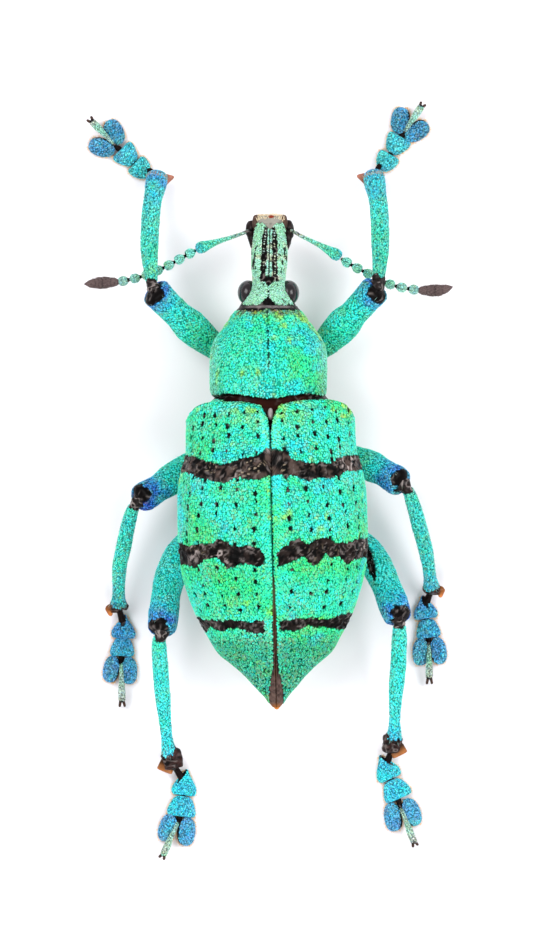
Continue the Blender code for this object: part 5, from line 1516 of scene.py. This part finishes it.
def foot_pads(name):
    """Centre, heading, half length, half width and width behind of two toe pads and two lobes, and
    the way the foot points."""
    pair = name.split("_")[0]
    toes = np.array(TOES[name])
    ways = toes[[1, 1, 2]] - toes[[0, 0, 1]]
    headings = np.arctan2(ways[:, 1], ways[:, 0])
    onward = np.array((math.cos(headings[2]), math.sin(headings[2])))
    aside = np.array((-onward[1], onward[0]))
    lobe_long, lobe_half = LOBE_SIZE[pair]
    pads = [(toes[k], headings[k], PAD_LONG[pair][k], PAD_HALF[pair][k], PAD_BACK[pair][k]) for k in (0, 1)]
    for sign in (-1, 1):
        place = toes[2] + aside * sign * lobe_half * LOBE_APART + onward * LOBE_AHEAD
        pads.append((place, headings[2] + sign * LOBE_TURN[pair], lobe_long, lobe_half, 1.0))
    return pads, onward


def brush(pad, heading, seed):
    """Roots and ways of the hairs round a pad, out of its lower flanks and a little ahead."""
    rng = np.random.default_rng(seed)
    row = rng.integers(4, len(pad) - 3, BRUSH_TRIES)
    column = rng.integers(0, pad.shape[1], BRUSH_TRIES)
    low = (pad[row, column, 2] > BRUSH_Z[0]) & (pad[row, column, 2] < BRUSH_Z[1])
    row, column = row[low][:BRUSH_HAIRS], column[low][:BRUSH_HAIRS]
    out = unit(normals_of(pad, True)[row, column] * (1.0, 1.0, 0.0))
    ahead = np.array((math.cos(heading), math.sin(heading), 0.0))
    return pad[row, column] + (0, 0, 0.03), out + 0.7 * ahead + (0, 0, -0.05)


for n, name in enumerate(TOES):
    pair, side = name.split("_")
    pads, onward = foot_pads(name)
    wedge_at = PAD_BARE[pair] and PAD_BARE[pair] * SIGN[side]
    brushes = []
    for k, (centre, heading, long, half, back) in enumerate(pads):
        pad = pad_grid(centre, heading, long, half, back, PAD_BLUNT[min(k, 2)])
        finish = partial(pad_finish, seed=400 + 40 * n + 9 * k, tone=PAD_TONES[pair][min(k, 2)],
                         bare_at=None if k else wedge_at, rim=(0, 0, 1, -1)[k])
        dressed(f"toe_{k + 1}_{name}", pad, finish, () if k else (f"leg_{name}_tarsus",),
                700 + 4 * n + k, gaps=0.1, step=0.1)
        brushes.append(brush(pad, heading, 560 + 4 * n + k))
    roots, ways = (np.concatenate(parts) for parts in zip(*brushes))
    hairs(f"toe_brush_{name}", roots, ways, 0.16, 600 + n, 0.014, BRUSH_COLOUR)

    # Bare dark necks from the shin to the first pad, from pad to pad and on between the lobes
    before, ankle = np.array(SHIN_ROUTE[name][-2:])
    first, second, third = (np.array((*toe, PAD_MIDDLE_Z + 0.02)) for toe in TOES[name])
    if pair in SHIN_END:
        root = ankle - unit(first - (0, 0, 0.02) - ankle) * 0.15
    else:
        root = ankle + unit(before - ankle) * 0.5 - (0, 0, 0.3)
    along = np.array((*onward, 0.0)) * LOBE_SIZE[pair][0]
    links = [((root, (ankle + first) / 2 - (0, 0, 0.1), first), NECK_RADII[pair])]
    for a, b in ((first, second), (second, third - along * 0.3)):
        links.append(((a, (a + b) / 2, b), PAD_NECK_RADII))
    for k, (route, radii) in enumerate(links):
        neck = bar_grid(route, radii, 24, 28)
        neck[..., 2] = np.maximum(neck[..., 2], NECK_LOW)
        bare(f"toe_neck_{k + 1}_{name}", neck, KNEE_COLOUR, skin_finish, (), 0.5, 14)

    # The claw joint and its two claws, which curve down to the ground
    reach = CLAW_REACH[pair]
    tip = np.array((*CLAW_TIP[name], PAD_MIDDLE_Z))
    heading = unit(tip - (third - (0, 0, 0.02)))
    start = third - along * 0.7 + (0, 0, 0.08)
    end = tip - heading * (reach + 0.02) + (0.0, 0.0, 0.22)
    shaft = bar_grid((start, (start + end) / 2 + (0.0, 0.0, 0.3), end), SHAFT_RADII, 60, 30, ends=(0.1, 0.15))
    dressed(f"claw_joint_{name}", shaft, limb_finish(850 + 12 * n, SHAFT_MARKS, 0.14, 0.93, 0.6, 0.0), (),
            950 + n, gaps=0.1, step=0.085)
    for letter, sign in (("a", -1), ("b", 1)):
        beside = np.array((-heading[1], heading[0], 0.0)) * sign
        root = end - heading * 0.12 + beside * 0.07
        bend = end + heading * reach * 0.8 + beside * CLAW_SPREAD + (0.0, 0.0, -0.04)
        point = end + heading * reach + beside * CLAW_SPREAD
        point[2] = CLAW_POINT_Z
        claw = bar_grid((root, bend, point), CLAW_RADII, 26, 20, ends=(0.08, 0.06))
        bare(f"claw_{letter}_{name}", claw, CLAW_COLOUR, horn_finish, (), 0.25, 15)

# Stage
# A plain pale floor under the feet, three soft window lights, the broadest and strongest from the
# left, and a long lens that looks straight down, head up, with the framing of a specimen picture.
FLOOR_HALF = 3000.0
FLOOR_COLOUR = (0.83, 0.8, 0.835, 1.0)
FRAME_TALL = 53.3  # height of the picture at the level of the back
BACK_Z = 4.5
FRAME_CENTRE = (0.368, 0.509)
CAMERA_UP = 1000.0
CLIP = (0.05, 20.0)  # metres
# Name, place from the middle of the object in millimetres, size in millimetres, watts
LIGHTS = (
    ("window_left", (-160.0, 90.0, 260.0), 200.0, 0.78),
    ("window_right", (190.0, 40.0, 220.0), 160.0, 0.62),
    ("window_near", (20.0, -230.0, 200.0), 120.0, 0.32),
)
AIR_COLOUR = (1.0, 0.985, 1.0, 1.0)
AIR_STRENGTH = 0.72
corners = np.array([(-1, -1, 0), (1, -1, 0), (1, 1, 0), (-1, 1, 0)]) * FLOOR_HALF
floor = put("studio_floor", corners, [np.array([(0, 1, 2, 3)])])
floor.data.materials.append(plain("studio_white", (("Base Color", FLOOR_COLOUR), ("Roughness", 0.9),
                                                   ("Specular IOR Level", 0.1)))[0])

lens = bpy.data.cameras.new("long_lens")
lens.sensor_width = 36.0
lens.lens = lens.sensor_width * (CAMERA_UP - BACK_Z) / FRAME_TALL
lens.clip_start, lens.clip_end = CLIP
camera = linked("camera", lens)
camera.location = (FRAME_CENTRE[0] * MM, FRAME_CENTRE[1] * MM, CAMERA_UP * MM)
bpy.context.scene.camera = camera

for name, place, size, power in LIGHTS:
    lamp = bpy.data.lights.new(name, "AREA")
    lamp.size = size * MM
    lamp.energy = power
    made = linked(name, lamp)
    x, y, z = place
    made.location = np.array(place) * MM
    made.rotation_euler = (math.atan2(math.hypot(x, y), z), 0.0, math.atan2(y, x) + math.pi / 2)
    made.visible_camera = False
world = bpy.data.worlds.new("studio_air")
world.use_nodes = True
air = world.node_tree.nodes["Background"]
air.inputs["Color"].default_value = AIR_COLOUR
air.inputs["Strength"].default_value = AIR_STRENGTH
bpy.context.scene.world = world
bpy.context.scene.view_settings.view_transform = "Standard"
